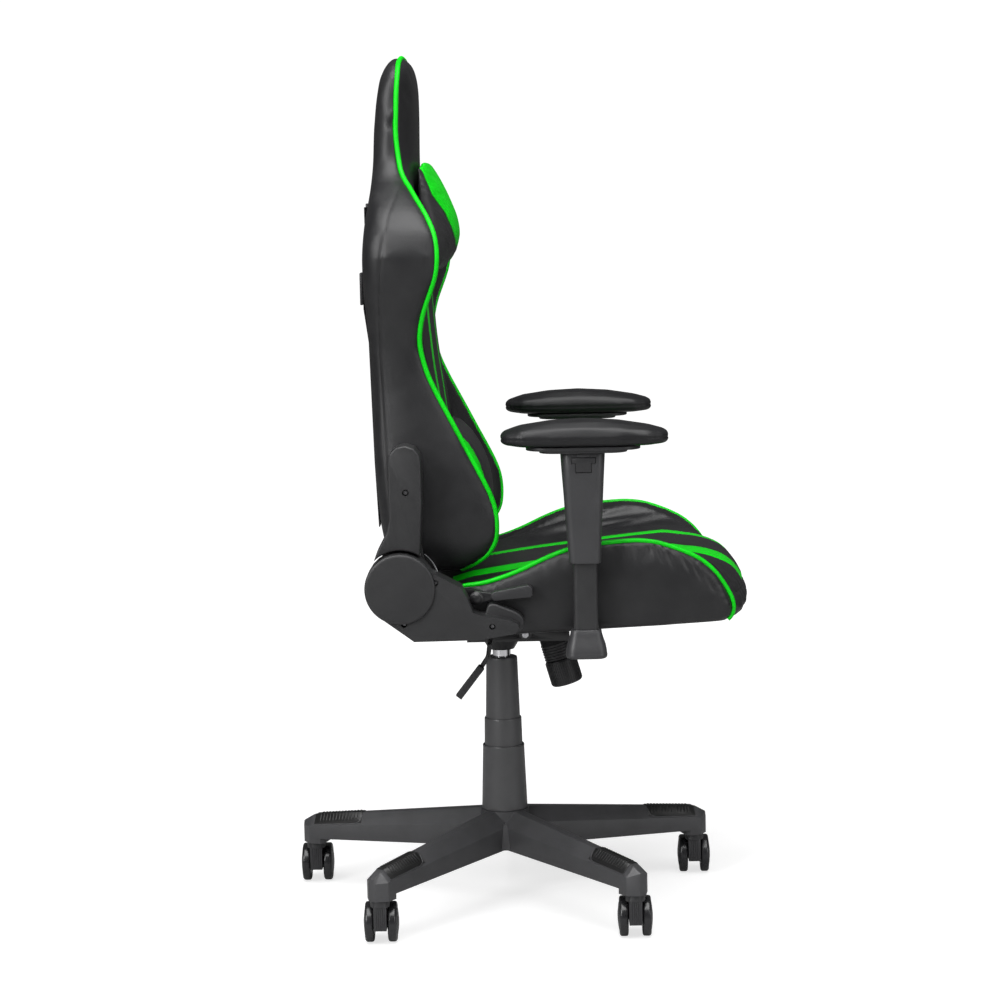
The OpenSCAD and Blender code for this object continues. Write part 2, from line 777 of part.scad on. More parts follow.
module lumbar_pillow() {
    half = 165;
    steps = 12;
    color([0.13, 0.13, 0.14]) loft([
        for (i = [0 : steps])
            let (u = -1 + 2 * i / steps, k = max(pillow_fill(u), 0.3), x = half * u)
                [for (p = lumbar_profile) [x, 75 + (p[0] - 75) * k, 655 + (p[1] - 655) * (0.8 + 0.2 * k)]]
    ]);
}

lumbar_profile = [
    [74, 752], [56, 745], [38, 728], [22, 702], [12, 672], [8, 640], [12, 608], [24, 584],
    [44, 566], [62, 562], [73, 580], [75, 655], [76, 730]
];

// Neck strap behind the back, and two lumbar straps over the front and down the back
module pillow_straps() {
    strap_t = 1.6;
    strap_w = 28;
    color([0.06, 0.06, 0.06]) {
        translate([-96, 187.5, 1056]) cube([192, strap_t, 25]);
        translate([-14, 187, 1050]) cube([28, 5, 37]);
        for (side = [-1, 1]) on_side(side) {
            side_plate(82, 82 + strap_w, [
                [189, 1034], [191, 1000], [191, 930], [185, 880], [181, 700], [177, 600],
                [179, 600], [183, 700], [187, 880], [194, 930], [195, 1000], [191, 1036]
            ]);
            translate([80, 193.5, 936]) cube([32, 5, 48]);
            side_plate(82, 82 + strap_w, [
                [105, 1036], [106, 980], [101, 880], [90, 780], [79, 752],
                [77.4, 752], [88, 782], [99, 880], [104, 980], [103, 1036]
            ]);
        }
    }
}

// ---- armrests ----

// Places its children at one armrest, mirrored so that +X points away from the seat
module at_arm(side) {
    on_side(side) translate([arm_x, arm_y, 0]) children();
}

// A prism with rounded corners between two heights
module upright(w, d, r, z1, z2) {
    translate([0, 0, z1]) linear_extrude(height = z2 - z1) polygon(round_box(w, d, r));
}

module arm_post(side) {
    color([0.08, 0.08, 0.09]) {
        at_arm(side) difference() {
            upright(20, 36, 7, 436, post_top);
            upright(15, 31, 5, 446, post_top + 1);
        }
        // foot bar under the seat frame
        on_side(side) on_seat_plane() translate([130, arm_y - 22, -6]) cube([arm_x - 9.5 - 130, 40, 6]);
    }
}

module arm_boot(side) {
    slot = 0.1;
    color([0.14, 0.14, 0.15]) at_arm(side) difference() {
        loft([
            for (s = [[boot_bottom, 40, 54], [boot_bottom + 4, 44, 60], [boot_bottom + 16, 40, 57],
                      [boot_bottom + 30, 32, 48], [boot_top, 28, 44]])
                [for (p = round_box(s[1], s[2], 12, 2)) [p[0], p[1], s[0]]]
        ]);
        upright(20 + slot, 36 + slot, 7, boot_bottom - 1, boot_top + 1);
        translate([-60, -26, boot_bottom - 1]) cube([60, 50, boot_top - boot_bottom - 8]);
    }
}

module arm_sleeve(side) {
    color([0.15, 0.15, 0.16]) at_arm(side) difference() {
        loft([
            for (s = [[sleeve_bottom, 32, 46, 0], [640, 34, 54, 1], [sleeve_top, 40, 63, 0.5]])
                [for (p = round_box(s[1], s[2], 9)) [p[0], p[1] + s[3], s[0]]]
        ]);
        upright(20 + 2 * slide_gap, 36 + 2 * slide_gap, 7, sleeve_bottom - 1, sleeve_top - 6);
        // pocket for the height button, in the outer wall
        translate([12, -11.5, 699]) cube([12, 23, 22]);
        translate([12, -17.5, 712]) cube([12, 35, 9]);
        // hole for the pad's pivot
        translate([0, 0, sleeve_top - 8]) cylinder(h = 10, r = 8 + run_gap);
    }
}

module arm_button(side) {
    color([0.10, 0.10, 0.11]) at_arm(side) {
        translate([15.5, -11, 699.5]) cube([5, 22, 14]);
        translate([15.5, -17, 712.5]) cube([5, 34, 8]);
    }
}

module arm_pad_base(side) {
    color([0.09, 0.09, 0.10]) at_arm(side) {
        translate([0, 0, sleeve_top - 5]) cylinder(h = 6, r = 8);
        translate([0, 0, sleeve_top + 0.4]) linear_extrude(height = 4) polygon(round_box(58, 126, 24, 5));
        translate([0, 0, sleeve_top + 4.4]) linear_extrude(height = 5) polygon(round_box(66, 164, 30, 5));
    }
}

// Pad stations from front to rear: [share of the length, half width, underside, edge height, top]
pad_stations = [
    [0, 16, 5, 12, 18], [0.03, 28, 2, 12, 23], [0.12, 40, 0, 12, 29], [0.3, 44, -1, 12, 36],
    [0.5, 44, -1, 12, 39], [0.7, 44, -1, 12, 37], [0.88, 40, 0, 12, 31], [0.97, 28, 3, 12, 24],
    [1, 16, 6, 12, 19]
];

module arm_pad(side) {
    hw = pad_w / 2;
    color([0.10, 0.10, 0.11]) at_arm(side) translate([0, pad_y - arm_y - pad_len / 2, pad_under])
        difference() {
            loft([
                for (s = pad_stations)
                    let (w = s[1] / 44 * hw, y = s[0] * pad_len, low = s[2], edge = s[3], top = s[4]) [
                        [-w, y, edge], [-w * 0.86, y, low + 3], [-w * 0.6, y, low], [w * 0.6, y, low],
                        [w * 0.86, y, low + 3], [w, y, edge], [w * 0.9, y, edge + (top - edge) * 0.55],
                        [w * 0.55, y, top - 2], [0, y, top], [-w * 0.55, y, top - 2],
                        [-w * 0.9, y, edge + (top - edge) * 0.55]
                    ]
            ]);
            translate([-50, -1, -10]) cube([100, pad_len + 2, 9.45]);
        }
}

// ---- one line for each node ----

star_base();
leg_inserts();
column_tube();
column_guide();
cover_lower();
cover_middle();
lift_rod();
rod_fittings();
pressure_tube();
cover_upper();
caster_hood(1);  // caster_hood_1
caster_hood(2);  // caster_hood_2
caster_hood(3);  // caster_hood_3
caster_hood(4);  // caster_hood_4
caster_hood(5);  // caster_hood_5
caster_wheels(1);  // caster_wheels_1
caster_wheels(2);  // caster_wheels_2
caster_wheels(3);  // caster_wheels_3
caster_wheels(4);  // caster_wheels_4
caster_wheels(5);  // caster_wheels_5
mechanism_housing();
spring_cover();
release_pin();
tilt_pin();
tension_spring();
tension_knob();
height_lever();
lever_grip();
tilt_plate();
tension_bolt();
mechanism_bolts();
seat_frame();
seat_cushion();
seat_brackets();
seat_cover_screws();
lower_cover(-1);  // lower_cover_right
lower_cover(1);  // lower_cover_left
recline_lever();
recline_grip();
back_frame();
back_brackets();
back_cushion();
upper_cover(-1);  // upper_cover_right
upper_cover(1);  // upper_cover_left
back_cover_screws();
neck_pillow();
lumbar_pillow();
pillow_straps();
arm_post(-1);  // arm_post_right
arm_boot(-1);  // arm_boot_right
arm_sleeve(-1);  // arm_sleeve_right
arm_button(-1);  // arm_button_right
arm_pad_base(-1);  // arm_pad_base_right
arm_pad(-1);  // arm_pad_right
arm_post(1);  // arm_post_left
arm_boot(1);  // arm_boot_left
arm_sleeve(1);  // arm_sleeve_left
arm_button(1);  // arm_button_left
arm_pad_base(1);  // arm_pad_base_left
arm_pad(1);  // arm_pad_left
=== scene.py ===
# %% [markdown]
# # A gaming chair, finished in Blender
# The chair's frame comes from CAD: every mechanical part is already in its exact place, in metres.
# This lesson gives it its looks. Each step says what a piece is on the real chair, how it could be
# made in Blender, and why one way was picked. The chair faces -Y and the sitter's right hand is on -X.

# %% Load the fixed frame
from math import atan2, cos, pi, radians, sin

import bpy
import numpy as np
from mathutils import Matrix, Vector
from mathutils.bvhtree import BVHTree


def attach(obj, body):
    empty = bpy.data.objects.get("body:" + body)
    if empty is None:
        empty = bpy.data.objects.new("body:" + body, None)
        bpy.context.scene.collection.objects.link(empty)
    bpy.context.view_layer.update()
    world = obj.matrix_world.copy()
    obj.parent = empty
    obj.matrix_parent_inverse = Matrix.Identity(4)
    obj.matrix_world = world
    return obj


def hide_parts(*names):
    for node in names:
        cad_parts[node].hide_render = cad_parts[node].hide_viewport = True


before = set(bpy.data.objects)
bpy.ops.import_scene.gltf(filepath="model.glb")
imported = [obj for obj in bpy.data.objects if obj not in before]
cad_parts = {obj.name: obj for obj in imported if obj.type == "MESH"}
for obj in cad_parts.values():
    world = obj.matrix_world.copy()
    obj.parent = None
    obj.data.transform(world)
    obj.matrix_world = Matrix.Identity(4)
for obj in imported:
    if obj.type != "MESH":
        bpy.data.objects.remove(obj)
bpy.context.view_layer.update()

MM = 0.001

# %% [markdown]
# ## Working habits
# Operators act on whatever is selected, so every step starts by deselecting everything and picking one
# piece. These small tools do that, select faces by where they are, and put a finished piece in order:
# place inside the mesh, smooth shading with crisp edges, a name, a finish and the body it moves with.

# %% Picking one piece, and picking faces on it
def only(obj):
    if bpy.context.object and bpy.context.object.mode != "OBJECT":
        bpy.ops.object.mode_set(mode="OBJECT")
    bpy.ops.object.select_all(action="DESELECT")
    obj.hide_viewport = False
    obj.select_set(True)
    bpy.context.view_layer.objects.active = obj
    return obj


def pick_faces(obj, test):
    """Opens obj in edit mode with just those faces selected whose centre and normal pass the test."""
    only(obj)
    bpy.ops.object.mode_set(mode="EDIT")
    bpy.ops.mesh.select_mode(type="FACE")
    bpy.ops.mesh.select_all(action="DESELECT")
    bpy.ops.object.mode_set(mode="OBJECT")
    for face in obj.data.polygons:
        face.select = bool(test(face.center, face.normal))
    bpy.ops.object.mode_set(mode="EDIT")


def apply(obj, kind, **values):
    """Adds a modifier with these values and applies it."""
    only(obj)
    modifier = obj.modifiers.new(kind.title(), kind)
    for key, value in values.items():
        setattr(modifier, key, value)
    bpy.ops.object.modifier_apply(modifier=modifier.name)
    return obj


def rounded(obj, width, segments=2, angle=32):
    """Rounds every edge sharper than the angle. Width is in millimetres."""
    return apply(obj, "BEVEL", width=width * MM, segments=segments, limit_method="ANGLE",
                 angle_limit=radians(angle), use_clamp_overlap=True)


def outward(obj):
    """Turns every face outwards."""
    only(obj)
    bpy.ops.object.mode_set(mode="EDIT")
    bpy.ops.mesh.select_all(action="SELECT")
    bpy.ops.mesh.normals_make_consistent(inside=False)
    bpy.ops.object.mode_set(mode="OBJECT")
    return obj


def place(obj, move=(0, 0, 0), turn=None):
    """Turns and moves the mesh itself, so that the object stays at the origin."""
    matrix = Matrix.Translation(Vector(move)) @ (turn.to_4x4() if turn else Matrix.Identity(4))
    obj.data.transform(matrix)
    return obj


def block(at, size):
    """A box with this centre and size in millimetres."""
    bpy.ops.object.select_all(action="DESELECT")
    bpy.ops.mesh.primitive_cube_add(size=1, location=Vector(at) * MM)
    obj = only(bpy.context.object)
    obj.scale = Vector(size) * MM
    bpy.ops.object.transform_apply(location=True, rotation=True, scale=True)
    return obj


def join(pieces):
    """Joins pieces into one object."""
    only(pieces[0])
    for piece in pieces[1:]:
        piece.select_set(True)
    bpy.ops.object.join()
    return bpy.context.object


def complete(obj, name, finish, body, *nodes, angle=35):
    """Names a piece, shades it, gives it a finish and the body it moves with, and hides the CAD nodes
    that it stands for."""
    only(obj)
    bpy.ops.object.transform_apply(location=True, rotation=True, scale=True)
    bpy.ops.object.shade_smooth_by_angle(angle=radians(angle))
    obj.name = obj.data.name = name
    obj.data.materials.clear()
    obj.data.materials.append(finish)
    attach(obj, body)
    if nodes:
        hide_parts(*nodes)
    return obj


print("tools ready")

# %% [markdown]
# ## Ways of starting a piece
# Most hard parts start in one of three ways. A turned part starts as a circle that is extruded and
# resized ring by ring, as on a lathe. A flat plate starts as a circle with one corner for each corner of
# its outline. A part whose CAD shape is already right starts as a copy of that node, whose loose
# triangles are merged into clean faces so that its edges can be rounded.

# %% A turned part
def turned(rings, steps=48):
    """Lathes rings of (radius, height) in millimetres about Z. Equal first and last rings make a tube."""
    r, z = rings[0]
    bpy.ops.object.select_all(action="DESELECT")
    bpy.ops.mesh.primitive_circle_add(vertices=steps, radius=r * MM)
    obj = bpy.context.object
    bpy.ops.object.mode_set(mode="EDIT")
    bpy.ops.mesh.select_mode(type="VERT")
    bpy.ops.mesh.select_all(action="SELECT")
    bpy.ops.transform.translate(value=(0, 0, z * MM))
    for r2, z2 in rings[1:]:
        bpy.ops.mesh.extrude_region_move(TRANSFORM_OT_translate={"value": (0, 0, (z2 - z) * MM)})
        bpy.ops.transform.resize(value=(r2 / r, r2 / r, 1), center_override=(0, 0, z2 * MM))
        r, z = r2, z2
    bpy.ops.mesh.select_all(action="SELECT")
    if tuple(rings[0]) == tuple(rings[-1]):
        bpy.ops.mesh.remove_doubles(threshold=1e-6)
    else:
        bpy.ops.mesh.fill_holes(sides=0)
    bpy.ops.mesh.normals_make_consistent(inside=False)
    bpy.ops.object.mode_set(mode="OBJECT")
    return obj


# %% A flat plate across X
def plate(outline, x1, x2):
    """A plate between x1 and x2 with a side outline of (y, z) corners, in millimetres."""
    bpy.ops.object.select_all(action="DESELECT")
    bpy.ops.mesh.primitive_circle_add(vertices=len(outline), radius=0.05, fill_type="NGON")
    obj = bpy.context.object
    for corner, (y, z) in zip(obj.data.vertices, outline):
        corner.co = (x1 * MM, y * MM, z * MM)
    bpy.ops.object.mode_set(mode="EDIT")
    bpy.ops.mesh.select_all(action="SELECT")
    bpy.ops.mesh.extrude_region_move(TRANSFORM_OT_translate={"value": ((x2 - x1) * MM, 0, 0)})
    bpy.ops.mesh.select_all(action="SELECT")
    bpy.ops.mesh.normals_make_consistent(inside=False)
    bpy.ops.object.mode_set(mode="OBJECT")
    return obj


def arc(cy, cz, r, a1, a2, n):
    """Corners (y, z) on an arc about (cy, cz), from angle a1 to a2 in degrees."""
    return [(cy + r * cos(radians(a1 + (a2 - a1) * i / n)), cz + r * sin(radians(a1 + (a2 - a1) * i / n)))
            for i in range(n + 1)]


# %% A tower of rounded boxes
def tower(rings, corner=9, steps=8):
    """A rounded rectangle extruded and resized upwards. Rings are (z, width x, depth y, shift y)."""
    z, w, d, s = rings[0]
    points = []
    for c in range(4):
        sx, sy = (1 if c in (0, 3) else -1), (1 if c < 2 else -1)
        for i in range(steps + 1):
            a = radians(90 * c + 90 * i / steps)
            points.append((sx * (w / 2 - corner) + corner * cos(a),
                           sy * (d / 2 - corner) + corner * sin(a) + s))
    bpy.ops.object.select_all(action="DESELECT")
    bpy.ops.mesh.primitive_circle_add(vertices=len(points), radius=0.05, fill_type="NGON")
    obj = bpy.context.object
    for vertex, (x, y) in zip(obj.data.vertices, points):
        vertex.co = (x * MM, y * MM, z * MM)
    bpy.ops.object.mode_set(mode="EDIT")
    bpy.ops.mesh.select_all(action="SELECT")
    for z2, w2, d2, s2 in rings[1:]:
        bpy.ops.mesh.extrude_region_move(TRANSFORM_OT_translate={"value": (0, (s2 - s) * MM, (z2 - z) * MM)})
        bpy.ops.transform.resize(value=(w2 / w, d2 / d, 1), center_override=(0, s2 * MM, z2 * MM))
        z, w, d, s = z2, w2, d2, s2
    bpy.ops.mesh.select_all(action="SELECT")
    bpy.ops.mesh.normals_make_consistent(inside=False)
    bpy.ops.object.mode_set(mode="OBJECT")
    return obj


# %% A copy of a CAD node with clean faces
def from_cad(node, dissolve=True):
    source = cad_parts[node]
    obj = source.copy()
    obj.data = source.data.copy()
    obj.parent = None
    for key in [k for k in obj.keys() if k.startswith("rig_")]:
        del obj[key]
    bpy.context.scene.collection.objects.link(obj)
    obj.hide_render = obj.hide_viewport = False
    only(obj)
    bpy.ops.object.mode_set(mode="EDIT")
    bpy.ops.mesh.select_all(action="SELECT")
    bpy.ops.mesh.remove_doubles(threshold=0.00002)
    if dissolve:
        bpy.ops.mesh.dissolve_limited(angle_limit=radians(0.6))
    bpy.ops.object.mode_set(mode="OBJECT")
    return obj


# %% A round cord, such as piping, through given points
def round_cord(points, radius, closed=False, sides=3):
    """A tube through points in metres, made as a curve with a round bevel and turned into a mesh."""
    curve = bpy.data.curves.new("cord", "CURVE")
    curve.dimensions = "3D"
    spline = curve.splines.new("POLY")
    spline.points.add(len(points) - 1)
    for p, q in zip(spline.points, points):
        p.co = (*q, 1)
    spline.use_cyclic_u = closed
    spline.use_smooth = True
    curve.bevel_depth = radius
    curve.bevel_resolution = sides
    curve.use_fill_caps = True
    obj = bpy.data.objects.new("cord", curve)
    bpy.context.scene.collection.objects.link(obj)
    only(obj)
    bpy.ops.object.convert(target="MESH")
    return outward(bpy.context.object)


print("starting shapes ready")

# %% [markdown]
# ## Finishes
# The chair is nearly all black, so what tells its pieces apart is how they shine: grained faux leather,
# fine moulded nylon, satin powder coat, woven webbing. Effects that several finishes share are shader
# node groups, made once: leather grain and moulded grain. Each also gives a slow tone, which shifts the
# colour and the roughness a little from place to place, as handling does.

# %% Shared groups
def new_group(name, inputs, outputs):
    group = bpy.data.node_groups.new(name, "ShaderNodeTree")
    for label, kind, default in inputs:
        socket = group.interface.new_socket(label, in_out="INPUT", socket_type=kind)
        if default is not None:
            socket.default_value = default
    for label, kind in outputs:
        group.interface.new_socket(label, in_out="OUTPUT", socket_type=kind)
    start, end = group.nodes.new("NodeGroupInput"), group.nodes.new("NodeGroupOutput")
    return group, start, end


def node(tree, kind, links=(), **values):
    """Adds a node, sets its values, and links its inputs from (input, socket) pairs."""
    n = tree.nodes.new(kind)
    for key, value in values.items():
        if key in n.inputs:
            n.inputs[key].default_value = value
        else:
            setattr(n, key, value)
    for key, socket in links:
        tree.links.new(socket, n.inputs[key])
    return n


def leather_grain_group():
    """Pebbled grain: rounded cells with creases between them, and broad soft creases of handling."""
    g, start, end = new_group("leather_grain", [("Vector", "NodeSocketVector", None),
                                                ("Scale", "NodeSocketFloat", 620.0)],
                              [("Height", "NodeSocketFloat"), ("Tone", "NodeSocketFloat")])
    warp = node(g, "ShaderNodeTexNoise", [("Vector", start.outputs["Vector"])], Scale=90.0, Detail=2.0)
    bent = node(g, "ShaderNodeVectorMath", [(0, warp.outputs["Color"])], operation="SCALE")
    bent.inputs["Scale"].default_value = 0.002
    sum_ = node(g, "ShaderNodeVectorMath", [(0, start.outputs["Vector"]), (1, bent.outputs["Vector"])],
                operation="ADD")
    cells = node(g, "ShaderNodeTexVoronoi", [("Vector", sum_.outputs["Vector"]),
                                             ("Scale", start.outputs["Scale"])],
                 feature="DISTANCE_TO_EDGE")
    round_ = node(g, "ShaderNodeMapRange", [("Value", cells.outputs["Distance"])],
                  interpolation_type="SMOOTHSTEP")
    round_.inputs["From Max"].default_value = 0.28
    broad = node(g, "ShaderNodeTexNoise", [("Vector", start.outputs["Vector"])], Scale=26.0, Detail=3.0)
    high = node(g, "ShaderNodeMath", [(0, round_.outputs["Result"]), (1, broad.outputs["Fac"])],
                operation="MULTIPLY_ADD")
    high.inputs[2].default_value = 0.0
    g.links.new(high.outputs[0], end.inputs["Height"])
    g.links.new(broad.outputs["Fac"], end.inputs["Tone"])
    return g


def moulded_grain_group():
    """The fine spark-eroded texture of a moulding tool."""
    g, start, end = new_group("moulded_grain", [("Vector", "NodeSocketVector", None),
                                                ("Scale", "NodeSocketFloat", 1400.0)],
                              [("Height", "NodeSocketFloat"), ("Tone", "NodeSocketFloat")])
    fine = node(g, "ShaderNodeTexNoise", [("Vector", start.outputs["Vector"]),
                                          ("Scale", start.outputs["Scale"])],
                Detail=2.0, Roughness=0.6)
    marks = node(g, "ShaderNodeTexNoise", [("Vector", start.outputs["Vector"])], Scale=18.0, Detail=5.0,
                 Roughness=0.65)
    g.links.new(fine.outputs["Fac"], end.inputs["Height"])
    g.links.new(marks.outputs["Fac"], end.inputs["Tone"])
    return g


leather_grain = leather_grain_group()
moulded_grain = moulded_grain_group()
print("groups", [g.name for g in bpy.data.node_groups])


# %% A finish that has grain
def grained(name, slot, group, colour, light, rough, spread=0.08, bump=0.3, distance=0.0004, scale=None,
            metal=0.0,
            specular=0.5, coat=0.0):
    """A finish whose colour runs between two tones, with a group's grain in its roughness and bump."""
    mat = bpy.data.materials.new(name)
    mat.use_nodes = True
    tree = mat.node_tree
    shader = tree.nodes["Principled BSDF"]
    shader.inputs["Metallic"].default_value = metal
    shader.inputs["Specular IOR Level"].default_value = specular
    shader.inputs["Coat Weight"].default_value = coat
    where = node(tree, "ShaderNodeTexCoord")
    grain = node(tree, "ShaderNodeGroup", node_tree=group)
    tree.links.new(where.outputs["Object"], grain.inputs["Vector"])
    if scale:
        grain.inputs["Scale"].default_value = scale
    tone = node(tree, "ShaderNodeMapRange", [("Value", grain.outputs["Tone"])])
    tone.inputs["From Min"].default_value, tone.inputs["From Max"].default_value = 0.3, 0.7
    mix = node(tree, "ShaderNodeMix", [(0, tone.outputs["Result"])], data_type="RGBA")
    mix.inputs[6].default_value = (*colour, 1)
    mix.inputs[7].default_value = (*light, 1)
    tree.links.new(mix.outputs[2], shader.inputs["Base Color"])
    roughness = node(tree, "ShaderNodeMapRange", [("Value", grain.outputs["Tone"])])
    roughness.inputs["To Min"].default_value = rough - spread
    roughness.inputs["To Max"].default_value = rough + spread
    tree.links.new(roughness.outputs["Result"], shader.inputs["Roughness"])
    lift = node(tree, "ShaderNodeBump", [("Height", grain.outputs["Height"])], Strength=bump,
                Distance=distance)
    tree.links.new(lift.outputs["Normal"], shader.inputs["Normal"])
    mat["slot"] = slot
    return mat


nylon = grained("black_nylon", "base_moulding", moulded_grain, (0.04, 0.04, 0.042), (0.052, 0.052, 0.055),
                0.42, bump=0.35)
cover_black = grained("cover_plastic", "cover_plastic", moulded_grain, (0.013, 0.013, 0.014),
                      (0.018, 0.018, 0.019), 0.48, bump=0.4)
column_black = grained("column_plastic", "column_cover", moulded_grain, (0.062, 0.062, 0.064),
                       (0.074, 0.074, 0.077), 0.4, bump=0.25)
sleeve_black = grained("armrest_plastic", "cover_plastic", moulded_grain, (0.028, 0.028, 0.03),
                       (0.036, 0.036, 0.038), 0.42, bump=0.3)
caster_black = grained("caster_nylon", "caster_plastic", moulded_grain, (0.012, 0.012, 0.013),
                       (0.02, 0.02, 0.022), 0.24, spread=0.05, bump=0.08)
hood_black = grained("caster_hood_nylon", "caster_plastic", moulded_grain, (0.02, 0.02, 0.022),
                     (0.03, 0.03, 0.032), 0.42, bump=0.2)
grip_black = grained("grip_plastic", "grip_plastic", moulded_grain, (0.014, 0.014, 0.015),
                     (0.022, 0.022, 0.024), 0.44, bump=0.35)
pad_black = grained("pad_polyurethane", "pad_plastic", moulded_grain, (0.007, 0.007, 0.008),
                    (0.012, 0.012, 0.013), 0.46, bump=0.3, scale=900, specular=0.35)
insert_black = grained("footrest_insert", "ribbed_insert", moulded_grain, (0.008, 0.008, 0.008),
                       (0.014, 0.014, 0.014), 0.36, bump=0.2)
powder_coat = grained("powder_coat", "painted_steel", moulded_grain, (0.01, 0.01, 0.011),
                      (0.016, 0.016, 0.017), 0.36, bump=0.3, scale=700)
tube_coat = grained("armrest_tube_coat", "painted_steel", moulded_grain, (0.022, 0.022, 0.023),
                    (0.028, 0.028, 0.029), 0.26, spread=0.04, bump=0.05)
zinc = grained("dark_zinc", "zinc_bolt", moulded_grain, (0.22, 0.22, 0.23), (0.34, 0.34, 0.35), 0.38,
               metal=1.0, bump=0.1)
bright_steel = grained("bright_steel", "bright_steel", moulded_grain, (0.5, 0.5, 0.52), (0.62, 0.62, 0.64),
                       0.22, metal=1.0, bump=0.05)
chrome = grained("chromed_tube", "chromed_steel", moulded_grain, (0.62, 0.62, 0.64), (0.7, 0.7, 0.72), 0.12,
                 spread=0.04, metal=1.0, bump=0.02)
bush = grained("guide_nylon", "guide_bush", moulded_grain, (0.62, 0.62, 0.58), (0.72, 0.72, 0.68), 0.45)
piping_green = grained("green_piping", "pillow_cover", leather_grain, (0, 0.5, 0.004), (0, 0.58, 0.006), 0.46,
                       bump=0.12, distance=0.0002, specular=0.25)
print("finishes so far", len(bpy.data.materials))

# %% [markdown]
# ## Floor, light and camera
# A black chair on white needs its shape drawn by reflections. A pale floor glows for the camera only, so
# that it looks white and yet throws little light up at the chair. A soft light on the chair's back side,
# one in front and a large one overhead put long highlights on rounded edges, and the world adds a little.

# %% Floor
bpy.ops.object.select_all(action="DESELECT")
bpy.ops.mesh.primitive_plane_add(size=60, location=(0, 0, -0.0004))
floor = bpy.context.object
floor.name = "studio_floor"
floor_paint = bpy.data.materials.new("studio_white")
floor_paint.use_nodes = True
floor_shader = floor_paint.node_tree.nodes["Principled BSDF"]
floor_shader.inputs["Base Color"].default_value = (0.45, 0.45, 0.45, 1)
floor_shader.inputs["Roughness"].default_value = 0.55
floor_shader.inputs["Specular IOR Level"].default_value = 0.2
floor_shader.inputs["Emission Color"].default_value = (1, 1, 1, 1)
far = node(floor_paint.node_tree, "ShaderNodeTexCoord")
away = node(floor_paint.node_tree, "ShaderNodeVectorMath", [(0, far.outputs["Object"])], operation="LENGTH")
glow = node(floor_paint.node_tree, "ShaderNodeMapRange", [("Value", away.outputs["Value"])])
for key, value in (("From Min", 0.5), ("From Max", 2.6), ("To Min", 0.72), ("To Max", 1.0)):
    glow.inputs[key].default_value = value
seen = node(floor_paint.node_tree, "ShaderNodeLightPath")
shown = node(floor_paint.node_tree, "ShaderNodeMath", [(0, glow.outputs["Result"]),
                                                       (1, seen.outputs["Is Camera Ray"])],
             operation="MULTIPLY")
floor_paint.node_tree.links.new(shown.outputs[0], floor_shader.inputs["Emission Strength"])
floor.data.materials.append(floor_paint)

# %% World
scene = bpy.context.scene
scene.view_settings.view_transform = "Standard"
world = scene.world or bpy.data.worlds.new("studio")
scene.world = world
world.use_nodes = True
sky = world.node_tree
background = sky.nodes["Background"]
background.inputs["Color"].default_value = (1, 1, 1, 1)
rays = sky.nodes.new("ShaderNodeLightPath")
strength = sky.nodes.new("ShaderNodeMapRange")
strength.inputs["To Min"].default_value = 0.10
strength.inputs["To Max"].default_value = 1.05
sky.links.new(rays.outputs["Is Camera Ray"], strength.inputs["Value"])
sky.links.new(strength.outputs["Result"], background.inputs["Strength"])


# %% Lights
def soft_light(name, at, aim, size, power):
    light = bpy.data.lights.new(name, "AREA")
    light.shape = "RECTANGLE"
    light.size, light.size_y = size
    light.energy = power
    lamp = bpy.data.objects.new(name, light)
    scene.collection.objects.link(lamp)
    lamp.location = at
    lamp.rotation_euler = (Vector(aim) - Vector(at)).to_track_quat("-Z", "Y").to_euler()
    return lamp


soft_light("key_behind_the_back", (-3.2, 2.6, 2.3), (0, 0.1, 0.7), (1.3, 2.2), 112)
soft_light("fill_in_front", (-2.6, -3.2, 1.6), (0, -0.1, 0.5), (1.2, 2.0), 32)
soft_light("overhead", (-1.3, -0.1, 3.4), (0, 0, 0), (3.0, 3.0), 165)

# %% Camera
def look_from(location, yaw, pitch, roll, focal):
    """A camera at a point, looking along +X turned by yaw and pitched down, all in radians."""
    ahead = Vector((cos(yaw) * cos(pitch), sin(yaw) * cos(pitch), -sin(pitch)))
    right = ahead.cross(Vector((0, 0, 1))).normalized()
    up = right.cross(ahead)
    r = right * cos(roll) + up * sin(roll)
    u = up * cos(roll) - right * sin(roll)
    data = bpy.data.cameras.new("camera")
    camera = bpy.data.objects.new("camera", data)
    scene.collection.objects.link(camera)
    camera.matrix_world = Matrix((( r.x, u.x, -ahead.x, location[0]), (r.y, u.y, -ahead.y, location[1]),
                                  (r.z, u.z, -ahead.z, location[2]), (0, 0, 0, 1)))
    data.sensor_width = 36
    data.lens = focal * 36 / 1000
    return camera


scene.camera = look_from((-3.94, -0.072, 1.092), radians(1.01), radians(6.74), radians(-1.227), 2564.0)
print("camera at", tuple(round(v, 3) for v in scene.camera.location))

# %% [markdown]
# ## The five-star base
# The real base is one nylon moulding: five hollow legs with a ridge on top and flat sides. Its CAD shape
# is exact, so a copy of it is cleaned and its edges rounded the way a mould leaves them. Small wedges
# fill the corners between the legs, as the real hub has a narrow flat face there.

# %% Star base and hub wedges
def rad_turn(k, extra=0.0):
    return Matrix.Rotation(radians(1.3 + 72 * k + extra), 3, "Z")


def copy_of(obj, turn=None, move=(0, 0, 0)):
    twin = obj.copy()
    twin.data = obj.data.copy()
    scene.collection.objects.link(twin)
    return place(twin, move, turn)


